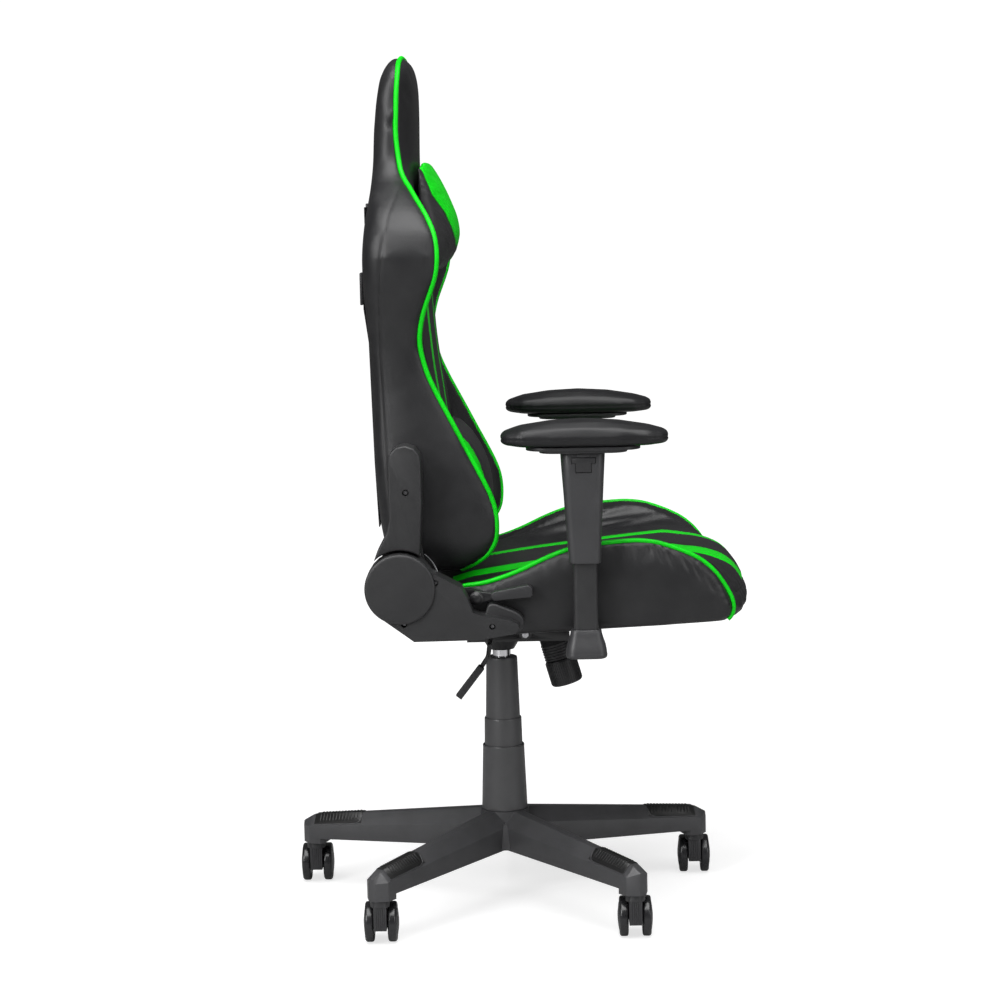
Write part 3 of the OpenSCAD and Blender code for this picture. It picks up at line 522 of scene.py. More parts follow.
star = rounded(from_cad("star_base"), 1.5, 3, 20)
bpy.ops.object.select_all(action="DESELECT")
bpy.ops.mesh.primitive_circle_add(vertices=3, radius=0.05, fill_type="NGON")
wedge = bpy.context.object
for corner, xy in zip(wedge.data.vertices, ((44, 0), (55.4, 6.9), (55.4, -6.9))):
    corner.co = (xy[0] * MM, xy[1] * MM, 0.0852)
bpy.ops.object.mode_set(mode="EDIT")
bpy.ops.mesh.select_all(action="SELECT")
bpy.ops.mesh.extrude_region_move(TRANSFORM_OT_translate={"value": (0, 0, 0.040)})
bpy.ops.transform.resize(value=(0.5, 0.45, 1), center_override=(0.044, 0, 0.1252))
bpy.ops.object.mode_set(mode="OBJECT")
outward(wedge)
wedges = [copy_of(wedge, rad_turn(k, 36)) for k in range(5)]
bpy.data.objects.remove(wedge)
complete(join([star] + wedges), "star_base_moulding", nylon, "base", "star_base")

# %% [markdown]
# ## Footrest inserts
# Near its tip each leg carries a ribbed black pad that saddles the ridge, with a thin raised rim round
# it. One rib is modelled from a cube whose two ends are pulled down the slopes, then repeated with an
# Array along the leg and copied to the other legs.

# %% Ribs and rims on the legs
def leg_at(d):
    """[half width, half ridge, shoulder height, ridge height] of a leg at a distance from the middle."""
    t = (d - 28) / 290
    return [27 - 7 * t, 8 - 2 * t, 120 - 22 * t, 142 - 29 * t]


def on_slope(d, share, lift=0.0):
    """A point on a leg's +Y slope: share 0 is the ridge's edge and 1 the shoulder."""
    w, ridge, shoulder, top = leg_at(d)
    return Vector((d, ridge + (w - ridge) * share + lift * 0.6,
                   top + (shoulder - top) * share + lift * 0.8)) * MM


rib = block((0, 0, 0), (2.6, 12.6, 1.1))
for side in (-1, 1):
    pick_faces(rib, lambda c, n: n.y * side > 0.9)
    bpy.ops.mesh.extrude_region_move(TRANSFORM_OT_translate={"value": (0, side * 9.2 * MM, -9.6 * MM)})
    bpy.ops.object.mode_set(mode="OBJECT")
slope = atan2(29, 290)
place(rib, (0, 0, 0), Matrix.Rotation(slope, 3, "Y"))
place(rib, (243 * MM, 0, leg_at(243)[3] * MM + 1.6 * MM))
apply(rib, "ARRAY", count=13, use_relative_offset=False, use_constant_offset=True,
      constant_offset_displace=(5.4 * MM * cos(slope), 0, -5.4 * MM * sin(slope)))
rounded(rib, 0.35, 1)
rim_points = [on_slope(d, 0.90, 0.5) for d in (318, 300, 270, 246)]
rim_points += [on_slope(238, 0.72, 0.9), on_slope(235.5, 0.3, 1.2)]
rim_points += [Vector((p.x, -p.y, p.z)) for p in reversed(rim_points)]
rim = round_cord(rim_points, 0.9 * MM, sides=1)
pads = rounded(from_cad("leg_inserts"), 0.5, 1, 20)
ribs = [copy_of(rib, rad_turn(k)) for k in range(5)]
rims = [copy_of(rim, rad_turn(k)) for k in range(5)]
for first in (rib, rim):
    bpy.data.objects.remove(first)
complete(join([pads] + ribs), "leg_insert_pads", insert_black, "base", "leg_inserts")
complete(join(rims), "leg_insert_rims", nylon, "base")

# %% [markdown]
# ## Casters
# Each caster is a hood with a neck under the leg, and two hard wheels on one axle. A wheel is turned like
# on a lathe: rounded tread, a groove behind the rim and a shallow domed face with a hub cap. It is
# modelled once and copied to both sides of all five casters.

# %% One wheel, then ten
wheel_rings = [(6, 0.2), (24, 0.2), (27.6, 0.5), (29.2, 1.5), (29.9, 3.0), (30, 4.6), (30, 9.4), (29.8, 10.8),
               (29.0, 12.3), (27.4, 13.3), (25.8, 13.4), (25.2, 12.7), (24.2, 12.6), (23.6, 13.3), (19, 14.4),
               (14, 15.1), (13.2, 14.5), (12.4, 14.5), (11.8, 15.3), (7, 15.9), (0.4, 16.1)]
wheel = turned(wheel_rings, 56)
hood_neck = turned([(0.4, 60), (13.4, 60), (14.5, 61), (14.5, 63.6), (13.8, 64.2), (13.8, 64.9), (14.5, 65.5),
                    (14.5, 67.6), (13.6, 68.4), (0.4, 68.4)], 40)
for k in range(5):
    stem = rad_turn(k) @ Vector((0.320, 0, 0))
    axle = stem + Vector((0.020, 0, 0.030))
    left = copy_of(wheel, Matrix.Rotation(-pi / 2, 3, "X"), axle + Vector((0, 0.0101, 0)))
    right = copy_of(wheel, Matrix.Rotation(pi / 2, 3, "X"), axle - Vector((0, 0.0101, 0)))
    complete(join([left, right]), f"caster_twin_wheels_{k + 1}", caster_black, f"wheels_{k + 1}",
             f"caster_wheels_{k + 1}", angle=40)
    hood = rounded(from_cad(f"caster_hood_{k + 1}"), 1.0, 2)
    neck = copy_of(hood_neck, None, stem)
    ridges = []
    for i in range(5):
        bpy.ops.object.select_all(action="DESELECT")
        bpy.ops.mesh.primitive_cylinder_add(vertices=8, radius=0.0009, depth=0.030,
                                            location=stem + Vector((-0.0130, (i - 2) * 0.0030, 0.043)))
        ridge = bpy.context.object
        pick_faces(ridge, lambda c, n: abs(n.z) > 0.9)
        bpy.ops.mesh.inset(thickness=0.0003, depth=0.0004)
        bpy.ops.object.mode_set(mode="OBJECT")
        only(ridge)
        bpy.ops.object.transform_apply(location=True, rotation=True, scale=True)
        ridges.append(ridge)
    complete(join([hood, neck] + ridges), f"caster_hood_shell_{k + 1}", hood_black, f"caster_{k + 1}",
             f"caster_hood_{k + 1}")
for first in (wheel, hood_neck):
    bpy.data.objects.remove(first)

# %% [markdown]
# ## Gas lift
# Three plastic covers slide into each other round the steel column. They are plain tapered tubes, so they
# are turned, and each gets the small rounded lip that catches the light on the real ones. Inside, the
# steel tube, its guide and the rod keep their CAD shapes and get steel and nylon finishes.

# %% Telescopic covers
lower = turned([(34.2, 142.2), (35.3, 142.1), (35.7, 143.2), (35.5, 146), (32.3, 239), (32.5, 240.4),
                (32.5, 242.2), (31.9, 243), (31.2, 243), (30.8, 242), (30.9, 239), (34.2, 142.2)], 64)
complete(lower, "lower_column_cover", column_black, "base", "cover_lower", angle=40)
middle = turned([(28.7, 236), (29.9, 236), (29.7, 240), (28.9, 283), (28.7, 285.2), (28.1, 286),
                 (27.6, 285.6), (27.5, 284), (28.7, 236)], 64)
complete(middle, "middle_column_cover", column_black, "middle_cover", "cover_middle", angle=40)
upper = turned([(25.8, 276), (27.0, 276), (26.9, 280), (24.3, 377), (24.3, 379), (23.6, 381.2), (21.6, 382),
                (14.4, 382), (14.4, 377), (22.6, 376), (25.8, 276)], 64)
complete(upper, "upper_column_cover", column_black, "mechanism", "cover_upper", angle=40)
for name, finish in (("column_tube", powder_coat), ("column_guide", bush), ("lift_rod", bright_steel),
                     ("rod_fittings", bright_steel), ("pressure_tube", chrome), ("release_pin", bright_steel),
                     ("tilt_pin", bright_steel), ("tension_spring", zinc), ("tension_bolt", zinc),
                     ("seat_frame", powder_coat), ("back_frame", powder_coat)):
    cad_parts[name].data.materials.clear()
    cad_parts[name].data.materials.append(finish)
print("column covers turned")

# %% [markdown]
# ## Rocking mechanism
# Pressed steel with folded walls, black powder coat, hex bolts, a ribbed plastic sleeve round the spring
# and a knob with fine grips. The pressed parts are rounded copies of the CAD. The knob is turned, and
# every second strip of its side is inset and raised for the grips.

# %% Pressed steel parts, sleeve and bolts
complete(rounded(from_cad("mechanism_housing"), 0.8, 2), "mechanism_pressing", powder_coat, "mechanism",
         "mechanism_housing")
complete(rounded(from_cad("tilt_plate"), 0.8, 2), "seat_carrier_plate", powder_coat, "seat", "tilt_plate")
complete(rounded(from_cad("spring_cover"), 0.5, 1), "spring_sleeve", grip_black, "mechanism", "spring_cover")
hex_head = turned([(0.4, -5.6), (6.4, -5.6), (7.4, -4.8), (7.4, -0.9), (9.4, -0.8), (9.4, 0.1), (0.4, 0.1)],
                  6)
washer = turned([(0.4, -1.0), (10.4, -1.0), (10.8, -0.6), (10.8, 0.1), (0.4, 0.1)], 32)
seat_plane = Matrix.Translation((0, 0, 0.4533)) @ Matrix.Rotation(radians(-2.6), 4, "X")
heads = []
for x, y in ((-62, -92), (62, -92), (-62, 52), (62, 52)):
    for first in (hex_head, washer):
        twin = copy_of(first)
        twin.data.transform(seat_plane @ Matrix.Translation((x * MM, y * MM, -3 * MM)))
        heads.append(twin)
for first in (hex_head, washer):
    bpy.data.objects.remove(first)
complete(join(heads), "mechanism_bolt_heads", zinc, "seat", "mechanism_bolts")

# %% Tension knob
knob = turned([(0.4, -41), (19, -41), (22.4, -40.4), (24.0, -39.2), (24.3, -37.6), (24.3, -3.2), (23.8, -1.4),
               (22.4, -0.2), (20.6, -0.2), (20.6, -34), (0.4, -34)], 96)
side_faces = [f.index for f in knob.data.polygons if abs(f.normal.z) < 0.1 and f.center.xy.length > 0.0235]
angles = {i: atan2(knob.data.polygons[i].center.y, knob.data.polygons[i].center.x) for i in side_faces}
every_second = set(sorted(side_faces, key=angles.get)[::2])
only(knob)
bpy.ops.object.mode_set(mode="EDIT")
bpy.ops.mesh.select_mode(type="FACE")
bpy.ops.mesh.select_all(action="DESELECT")
bpy.ops.object.mode_set(mode="OBJECT")
for i in every_second:
    knob.data.polygons[i].select = True
bpy.ops.object.mode_set(mode="EDIT")
bpy.ops.mesh.inset(thickness=0.25 * MM, depth=0.75 * MM, use_individual=True)
bpy.ops.object.mode_set(mode="OBJECT")
place(knob, (0, -0.0908, 0.377), Matrix.Rotation(radians(-16), 3, "X"))
complete(knob, "tension_knob_grip", grip_black, "knob", "tension_knob", angle=30)
print("knob with", len(every_second), "grips")

# %% [markdown]
# ## Height lever
# A bent steel rod with a flat plastic grip. Both are copies of the CAD, which has the right bends. The
# rod is shaded smooth, and the grip's edges are rounded well, since fingers close round it.

# %% Rod and grip
complete(from_cad("height_lever", dissolve=False), "height_lever_rod", powder_coat, "height_lever",
         "height_lever", angle=50)
grip = rounded(from_cad("lever_grip"), 2.4, 3, 40)
complete(grip, "height_lever_grip", grip_black, "height_lever", "lever_grip", angle=40)

# %% [markdown]
# ## Recliner covers
# On each side a grained plastic cover hides the recliner. Its lower half is a flat shell with a round
# disc standing proud of it, and its upper half climbs the back. The screws sit at the bottom of deep round
# wells. The shells are copies of the CAD with only their outer edges rounded, then each well is cut with
# a Boolean and lined with a turned cup that holds a small cross-head screw.

# %% Rounding chosen edges
def round_edges(obj, width, test, segments=3, angle=0.5):
    """Bevels the sharp edges whose middle passes the test. Width is in millimetres."""
    only(obj)
    mesh = obj.data
    sides = {}
    for face in mesh.polygons:
        for key in face.edge_keys:
            sides.setdefault(key, []).append(face.normal.copy())
    bpy.ops.object.mode_set(mode="EDIT")
    bpy.ops.mesh.select_mode(type="EDGE")
    bpy.ops.mesh.select_all(action="DESELECT")
    bpy.ops.object.mode_set(mode="OBJECT")
    count = 0
    for edge in mesh.edges:
        pair = sides.get(tuple(sorted(edge.vertices)), [])
        a, b = (mesh.vertices[i].co for i in edge.vertices)
        if len(pair) == 2 and pair[0].angle(pair[1], 0) > angle and test((a + b) / 2):
            edge.select = True
            count += 1
    bpy.ops.object.mode_set(mode="EDIT")
    if count:
        bpy.ops.mesh.bevel(offset=width * MM, segments=segments, affect="EDGES", clamp_overlap=True)
    bpy.ops.object.mode_set(mode="OBJECT")
    return obj


def cut(obj, cutter):
    apply(obj, "BOOLEAN", operation="DIFFERENCE", object=cutter, solver="EXACT")
    bpy.data.objects.remove(cutter)
    return obj


def drill(obj, side, x, y, z, radius):
    """Cuts a round hole 12 mm deep along X, centred at side * x, in millimetres."""
    bpy.ops.object.select_all(action="DESELECT")
    bpy.ops.mesh.primitive_cylinder_add(vertices=28, radius=radius * MM, depth=12 * MM,
                                        location=(side * x * MM, y * MM, z * MM), rotation=(0, pi / 2, 0))
    return cut(obj, bpy.context.object)


def screw_well(side, x, y, z, radius=4.3, depth=8.0):
    """A turned cup with a cross-head screw at its bottom, whose mouth is at x, as two pieces."""
    r = radius
    cup = turned([(0.4, -depth - 1), (r + 0.8, -depth - 1), (r + 0.8, -0.4), (r + 0.3, -0.1), (r, -0.5),
                  (r, -depth), (0.4, -depth)], 28)
    head = turned([(0.4, -depth), (r - 0.9, -depth), (r - 0.9, -depth + 1.3), (r - 1.7, -depth + 2.0),
                   (0.4, -depth + 2.2)], 24)
    for width, height in ((1.0, 3.8), (3.8, 1.0)):
        cut(head, block((0, 0, -depth + 2.2), (width, height, 1.6)))
    turn = Matrix.Rotation(side * pi / 2, 3, "Y")
    for piece in (cup, head):
        place(piece, (side * x * MM, y * MM, z * MM), turn)
    return cup, head


# %% Lower covers with disc, screw wells and front tab
for side, word in ((-1, "right"), (1, "left")):
    shell = from_cad(f"lower_cover_{word}")
    round_edges(shell, 2.2, lambda m: abs(m.x) > 0.2995 and abs(Vector((0, m.y - 0.007,
                                                                        m.z - 0.478)).length) > 0.004, 3)
    wells, heads = [], []
    for y, z in ((88, 543), (134, 483.5), (7, 478)):
        drill(shell, side, 298.5, y, z, 4.6)
        cup, head = screw_well(side, 300, y, z)
        wells.append(cup)
        heads.append(head)
    disc = turned([(0.4, 0), (49.2, 0), (50.4, 0.6), (50.9, 1.8), (50.9, 3.4), (50.2, 5.0), (48.8, 5.9),
                   (46.5, 6.2), (20, 6.5), (0.4, 6.6)], 96)
    place(disc, (side * 0.2992, 0.139, 0.535), Matrix.Rotation(side * pi / 2, 3, "Y"))
    tab_outline = [(27, 494), (17, 494.5), (14.5, 504), (11.5, 507.2), (6, 508.2), (0, 506.6), (-26, 496),
                   (-33, 491.5), (-37.5, 485.5), (-39, 479), (-37, 472), (-32, 466), (-24, 462.5), (27, 460)]
    tab = plate(tab_outline, side * 256.6, side * 276)
    round_edges(tab, 3.2, lambda m: abs(m.x) > 0.2755, 4)
    complete(join([shell, disc, tab] + wells), f"recliner_cover_{word}", cover_black, "seat",
             f"lower_cover_{word}", angle=28)
    complete(join(heads), f"recliner_screws_{word}", zinc, "seat")
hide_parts("seat_cover_screws")

# %% Upper covers
for side, word in ((-1, "right"), (1, "left")):
    shell = from_cad(f"upper_cover_{word}")
    round_edges(shell, 4.0, lambda m: abs(m.x) > 0.2895 and Vector((0, m.y - 0.128,
                                                                    m.z - 0.673)).length > 0.006, 3)
    drill(shell, side, 288.5, 128, 673, 4.9)
    cup, head = screw_well(side, 290, 128, 673, 4.6)
    complete(join([shell, cup]), f"back_arm_cover_{word}", cover_black, "back", f"upper_cover_{word}",
             angle=28)
    complete(head, f"back_arm_screw_{word}", zinc, "back")
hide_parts("back_cover_screws")

# %% [markdown]
# ## Brackets and the recline lever
# Behind the covers sit flame-cut steel plates with a thin bright edge that shows beside the disc. The
# recline lever is a flat bar on a hub, with a boxy plastic grip. All are rounded copies of the CAD, and
# the hub and its nut are turned.

# %% Steel plates, the bright edge, lever and hub
complete(rounded(from_cad("seat_brackets"), 0.7, 2), "seat_recliner_plates", powder_coat, "seat",
         "seat_brackets")
complete(rounded(from_cad("back_brackets"), 0.7, 2), "back_recliner_plates", powder_coat, "back",
         "back_brackets")
edges = []
for side in (-1, 1):
    points = [Vector((side * 0.2562, y * MM, z * MM)) for y, z in arc(139, 535, 56.5, 128, 176, 12)]
    edges.append(round_cord(points, 1.1 * MM, sides=2))
complete(join(edges), "recliner_bright_edge", bright_steel, "seat")
bar = rounded(from_cad("recline_lever"), 1.0, 2)
hub = turned([(0.4, 0), (9.4, 0), (10, 0.6), (10, 3.6), (9.2, 4.4), (6.6, 4.6), (6.6, 6.8), (5.8, 7.6),
              (0.4, 7.6)], 36)
place(hub, (-0.2690, 0.030, 0.515), Matrix.Rotation(-pi / 2, 3, "Y"))
complete(join([bar, hub]), "recline_lever_bar", powder_coat, "recline_lever", "recline_lever")
handle = rounded(from_cad("recline_grip"), 2.0, 3, 40)
complete(handle, "recline_lever_grip", grip_black, "recline_lever", "recline_grip", angle=40)

# %% [markdown]
# ## Armrests
# A flattened steel tube rises from a flared boot. A tapered plastic sleeve slides on it, with a T-shaped
# height button in a pocket near its top, and carries two stepped plates and a soft moulded pad. Tube,
# boot and sleeve are towers of rounded rectangles extruded and resized ring by ring.

# %% Tube, boot, sleeve and button
for side, word in ((-1, "right"), (1, "left")):
    here = (side * 0.285, -0.128, 0)
    tube = tower([(436, 20, 36, 0), (650, 20, 36, 0)], corner=7)
    place(tube, here)
    foot = rounded(block((side * 202.75, -130, -3), (145.5, 40, 6)), 1.2, 2)
    foot.data.transform(seat_plane)
    complete(join([tube, foot]), f"armrest_tube_{word}", tube_coat, "seat", f"arm_post_{word}", angle=40)
    boot = tower([(429, 39, 53, 0), (430, 42, 57, 0), (432, 43.6, 59.4, 0), (435, 44, 60, 0),
                  (436.2, 43.2, 59.2, 0), (437.4, 43.0, 59, 0), (441, 42.2, 58.4, 0), (448, 38.6, 55.6, 0),
                  (456, 33.6, 50, 0), (463, 30, 46, 0), (469, 28.4, 44.2, 0), (470, 27.2, 43, 0)], corner=12,
                 steps=10)
    place(boot, here)
    complete(boot, f"armrest_boot_{word}", sleeve_black, "seat", f"arm_boot_{word}", angle=50)
    sleeve = tower([(567, 30, 44, 0), (567.6, 31.4, 45.4, 0), (569, 32.2, 46.2, 0), (571, 32.2, 46.3, 0),
                    (605, 33, 50, 0.4), (640, 34, 54, 0.8), (685, 37, 58.8, 0.8), (725, 39.8, 62.8, 0.5),
                    (727, 38.6, 61.6, 0.5)], corner=9)
    for sx, sy, sz, y, z in ((14, 23.4, 15.2, 0, 706.2), (14, 35.4, 9.0, 0, 716.6)):
        cut(sleeve, block((18.5, y, z), (sx, sy, sz)))
    if side < 0:
        sleeve.data.transform(Matrix.Scale(-1, 4, (1, 0, 0)))
    place(sleeve, here)
    tab = rounded(block((side * 305, -128, 724.1), (3, 17, 5)), 0.8, 2)
    complete(join([outward(sleeve), tab]), f"armrest_sleeve_{word}", sleeve_black, f"arm_sleeve_{word}",
             f"arm_sleeve_{word}", angle=40)
    button = rounded(from_cad(f"arm_button_{word}"), 0.8, 2)
    complete(button, f"height_button_{word}", grip_black, f"arm_button_{word}", f"arm_button_{word}")
    plates = rounded(from_cad(f"arm_pad_base_{word}"), 1.2, 3)
    complete(plates, f"pad_plates_{word}", grip_black, f"arm_pad_{word}", f"arm_pad_base_{word}")

# %% [markdown]
# ## Leather and pillow covers
# The covers are sewn from black and green faux leather. The borders between the two colours are sewn
# lines that don't follow the mesh, so each cushion carries a number at every point: how far it is inside
# a green panel, in millimetres. The material turns that number into a crisp edge, and a second number,
# the distance to the nearest seam, into a thin dark line of painted shade along the bottom of each
# pressed-in seam.

# %% Two-colour leather
def sewn(name, slot, dark, light, green, rough, scale=620.0, bump=0.3):
    mat = grained(name, slot, leather_grain, dark, light, rough, spread=0.06, bump=bump, distance=0.0003,
                  scale=scale, specular=0.4)
    tree = mat.node_tree
    shader = tree.nodes["Principled BSDF"]
    black = shader.inputs["Base Color"].links[0].from_socket
    inside = node(tree, "ShaderNodeAttribute", attribute_name="green_mm")
    sharp = node(tree, "ShaderNodeMapRange", [("Value", inside.outputs["Fac"])])
    sharp.inputs["From Min"].default_value, sharp.inputs["From Max"].default_value = -0.35, 0.35
    dyed = node(tree, "ShaderNodeMix", [(0, sharp.outputs["Result"]), (6, black)], data_type="RGBA")
    dyed.inputs[7].default_value = (*green, 1)
    # Painted shade: near a seam the colour is darkened to a quarter, standing in for the shade in its groove.
    seam = node(tree, "ShaderNodeAttribute", attribute_name="seam_mm")
    line = node(tree, "ShaderNodeMapRange", [("Value", seam.outputs["Fac"])])
    line.inputs["From Min"].default_value, line.inputs["From Max"].default_value = 0.5, 1.3
    shade = node(tree, "ShaderNodeMapRange", [("Value", line.outputs["Result"])])
    shade.inputs["To Min"].default_value = 0.25
    painted_seam_shade = node(tree, "ShaderNodeMix", [(6, dyed.outputs[2])], data_type="RGBA", blend_type="MULTIPLY")
    painted_seam_shade.inputs[0].default_value = 1.0
    tree.links.new(shade.outputs["Result"], painted_seam_shade.inputs[7])
    tree.links.new(painted_seam_shade.outputs[2], shader.inputs["Base Color"])
    return mat


GREEN = (0.0, 0.56, 0.004)
leather = sewn("black_leather", "upholstery", (0.010, 0.010, 0.011), (0.015, 0.015, 0.016), GREEN, 0.42)
neck_cover = sewn("neck_pillow_cover", "pillow_cover", (0.018, 0.018, 0.019), (0.026, 0.026, 0.027),
                  (0.0, 0.60, 0.005), 0.50)
lumbar_cover = sewn("lumbar_pillow_cover", "lumbar_cover", (0.018, 0.018, 0.019), (0.026, 0.026, 0.027),
                    GREEN, 0.44)


def webbing_finish():
    """Woven strap: fine threads across and coarser ribs along."""
    mat = grained("strap_webbing", "strap", moulded_grain, (0.010, 0.010, 0.010), (0.022, 0.022, 0.022), 0.8,
                  bump=0.4)
    tree = mat.node_tree
    where = node(tree, "ShaderNodeTexCoord")
    threads = node(tree, "ShaderNodeTexWave", [("Vector", where.outputs["Object"])], bands_direction="Z",
                   Scale=260.0)
    ribs = node(tree, "ShaderNodeTexWave", [("Vector", where.outputs["Object"])], bands_direction="X",
                Scale=110.0)
    weave = node(tree, "ShaderNodeMath", [(0, threads.outputs["Fac"]), (1, ribs.outputs["Fac"])],
                 operation="ADD")
    lift = node(tree, "ShaderNodeBump", [("Height", weave.outputs[0])], Strength=0.6, Distance=0.0005)
    tree.links.new(lift.outputs["Normal"], tree.nodes["Principled BSDF"].inputs["Normal"])
    return mat


webbing = webbing_finish()
print("covers", leather.name, neck_cover.name, lumbar_cover.name, webbing.name)

# %% [markdown]
# ## Stuffing a cushion
# A CAD cushion is a faceted solid. A copy is remeshed into even faces, smoothed without shrinking, and
# then blown up a little as cloth, held along its seams, so that it bulges between them the way foam does
# under a tight cover. How far a point may move is capped. Seams are then pressed in, with small puckers
# beside them, because a sewn cover always gathers where it is pulled down.

# %% Remesh, smooth, puff
def even_mesh(node_name, voxel, passes, soften=2):
    """A copy of a CAD cushion in even faces of the voxel's size in metres. Each pass smooths and then swells
    it back, and the last softening rounds it for good."""
    obj = from_cad(node_name, dissolve=False)
    apply(obj, "REMESH", mode="VOXEL", voxel_size=voxel)
    for _ in range(passes):
        apply(obj, "SMOOTH", factor=0.6, iterations=2)
        apply(obj, "SMOOTH", factor=-0.62, iterations=2)
    apply(obj, "SMOOTH", factor=0.5, iterations=soften)
    return apply(obj, "SUBSURF", levels=1, render_levels=1)


def coords(obj):
    out = np.empty(len(obj.data.vertices) * 3)
    obj.data.vertices.foreach_get("co", out)
    return out.reshape(-1, 3)


def set_coords(obj, points):
    obj.data.vertices.foreach_set("co", np.ascontiguousarray(points, dtype=np.float64).ravel())
    obj.data.update()


def normals(obj):
    out = np.empty(len(obj.data.vertices) * 3)
    obj.data.vertices.foreach_get("normal", out)
    return out.reshape(-1, 3)


def puff(obj, held, cap, pressure=4.0):
    """Blows obj up as cloth for 20 frames. Points where held is true stay, and others move at most cap mm."""
    rest = coords(obj)
    group = obj.vertex_groups.new(name="held")
    group.add([int(i) for i in np.nonzero(held)[0]], 1.0, "REPLACE")
    only(obj)
    cloth = obj.modifiers.new("Cloth", "CLOTH")
    cloth.settings.vertex_group_mass = "held"
    cloth.settings.use_pressure = True
    cloth.settings.uniform_pressure_force = pressure
    cloth.settings.effector_weights.gravity = 0
    cloth.settings.quality = 2
    cloth.settings.tension_stiffness = 20
    cloth.settings.bending_stiffness = 2.0
    cloth.collision_settings.use_collision = False
    for frame_number in range(1, 21):
        scene.frame_set(frame_number)
    bpy.ops.object.modifier_apply(modifier=cloth.name)
    obj.vertex_groups.clear()
    scene.frame_set(1)
    move = coords(obj) - rest
    far = np.linalg.norm(move, axis=1)
    move *= np.minimum(1, cap * MM / np.maximum(far, 1e-9))[:, None]
    set_coords(obj, rest + move)
    apply(obj, "SMOOTH", factor=0.4, iterations=2)
    print(obj.name, "puffed up to", round(float(far.max()) * 1000, 1), "mm, capped at", cap)
    return obj


def to_line(points, line):
    """Distance in mm of each (a, b) point from a line of (a, b) points, and how far along it that is."""
    best = np.full(len(points), 1e9)
    along = np.zeros(len(points))
    run = 0.0
    for (a, b) in zip(line[:-1], line[1:]):
        a, b = np.array(a, float), np.array(b, float)
        span = b - a
        size = np.linalg.norm(span)
        t = np.clip(((points - a) @ span) / (size * size), 0, 1)
        gap = np.linalg.norm(points - (a + t[:, None] * span), axis=1)
        nearer = gap < best
        best[nearer] = gap[nearer]
        along[nearer] = run + t[nearer] * size
        run += size
    return best, along


def press_seam(obj, seam, along, depth=1.6, width=3.2, pucker=0.5, pitch=11.0):
    """Presses the surface in where seam (mm) is small, with puckers beside it."""
    fold = pucker * np.sin(along * 2 * pi / pitch + 1.7 * np.sin(along * 2 * pi / (pitch * 3.7)))
    fold *= np.exp(-((seam - 7) / 6.0) ** 2)
    sink = -depth * np.exp(-(seam / width) ** 2)
    set_coords(obj, coords(obj) + normals(obj) * ((sink + fold) * MM)[:, None])


def mark(obj, name, values):
    layer = obj.data.attributes.new(name, "FLOAT", "POINT")
    layer.data.foreach_set("value", np.asarray(values, dtype=np.float32))


def tree_of(obj):
    mesh = obj.data
    return BVHTree.FromPolygons([v.co.copy() for v in mesh.vertices],
                                [tuple(f.vertices) for f in mesh.polygons])


def curve_through(points, step=7.0):
    """Evenly spaced points in mm on a smooth curve through the given ones."""
    p = np.array(points, float)
    p = np.vstack([2 * p[0] - p[1], p, 2 * p[-1] - p[-2]])
    out = []
    for i in range(1, len(p) - 2):
        n = max(2, int(np.linalg.norm(p[i + 1] - p[i]) / step))
        for t in np.linspace(0, 1, n, endpoint=False):
            out.append(0.5 * (2 * p[i] + (p[i + 1] - p[i - 1]) * t + (2 * p[i - 1] - 5 * p[i] + 4 * p[i + 1]
                                                                      - p[i + 2]) * t * t
                              + (3 * p[i] - p[i - 1] - 3 * p[i + 1] + p[i + 2]) * t ** 3))
    out.append(p[-2])
    return np.array(out)


def snapped_cord(surface, points, radius, lift=0.35, smooth=3):
    """A cord lying on a surface: each point goes to the nearest place on it, then the run is smoothed."""
    rows = []
    for p in curve_through(points):
        spot, normal, _, _ = surface.find_nearest(Vector(p) * MM)
        rows.append(spot + normal * radius * lift * MM)
    for _ in range(smooth):
        rows = [rows[0]] + [(a + 2 * b + c) / 4 for a, b, c in zip(rows, rows[1:], rows[2:])] + [rows[-1]]
    return round_cord(rows, radius * MM, sides=3)


print("stuffing tools ready")

# %% [markdown]
# ## Seat
# A bucket seat: a flat centre with two green stripes, high bolsters, and green piping where the top
# cover meets the side panels. The piping runs along the outer edge of each bolster and round the front.

# %% Seat cushion
seat_widths = [(116, 222), (88, 240), (20, 250), (-34, 252), (-151, 255), (-267, 253), (-317, 249),
               (-345, 238), (-368, 192), (-378, 140)]
seat_edge = [(60, 541), (42, 536), (25, 534), (-4, 541), (-34, 554), (-71, 572), (-107, 586), (-151, 592),
             (-206, 596), (-238, 591), (-267, 581), (-296, 568), (-317, 550), (-330, 529), (-340, 505),
             (-344, 490), (-343, 476), (-338, 469)]


def width_at(table, where, share):
    keys = sorted(table)
    return share * np.interp(where, [k[0] for k in keys], [k[1] for k in keys])


seat = even_mesh("seat_cushion", 0.010, 5)
at = coords(seat) / MM
edge_gap, edge_run = to_line(at[:, 1:], seat_edge)
outer = np.abs(at[:, 0]) > width_at(seat_widths, at[:, 1], 0.80)
held = ((edge_gap < 6) & outer) | (at[:, 2] < 478) | (at[:, 1] > 95)
puff(seat, held, 7)
apply(seat, "SUBSURF", levels=1, render_levels=1)
at = coords(seat) / MM
x, y, z = at.T
edge_gap, edge_run = to_line(at[:, 1:], seat_edge)
outer = np.abs(x) > width_at(seat_widths, y, 0.80)
AWAY = 99.0  # mm to a seam, where there is none
STRIPE_X = 90  # mm from the middle to the centre of a stripe
edge_seam = np.where(outer, edge_gap, AWAY)
half = np.interp(-y, [-40, 357], [21, 26])  # half a stripe is wider at the front
stripe = half - np.abs(np.abs(x) - STRIPE_X)
stripe = np.minimum(stripe, np.where((z > 500) & (y < 70), 50.0, -5.0))
stripe = np.minimum(stripe, np.where(y < -340, z - 512, 50.0))
stripe_seam = np.where((y < 80) & (z > 500), np.abs(stripe), AWAY)
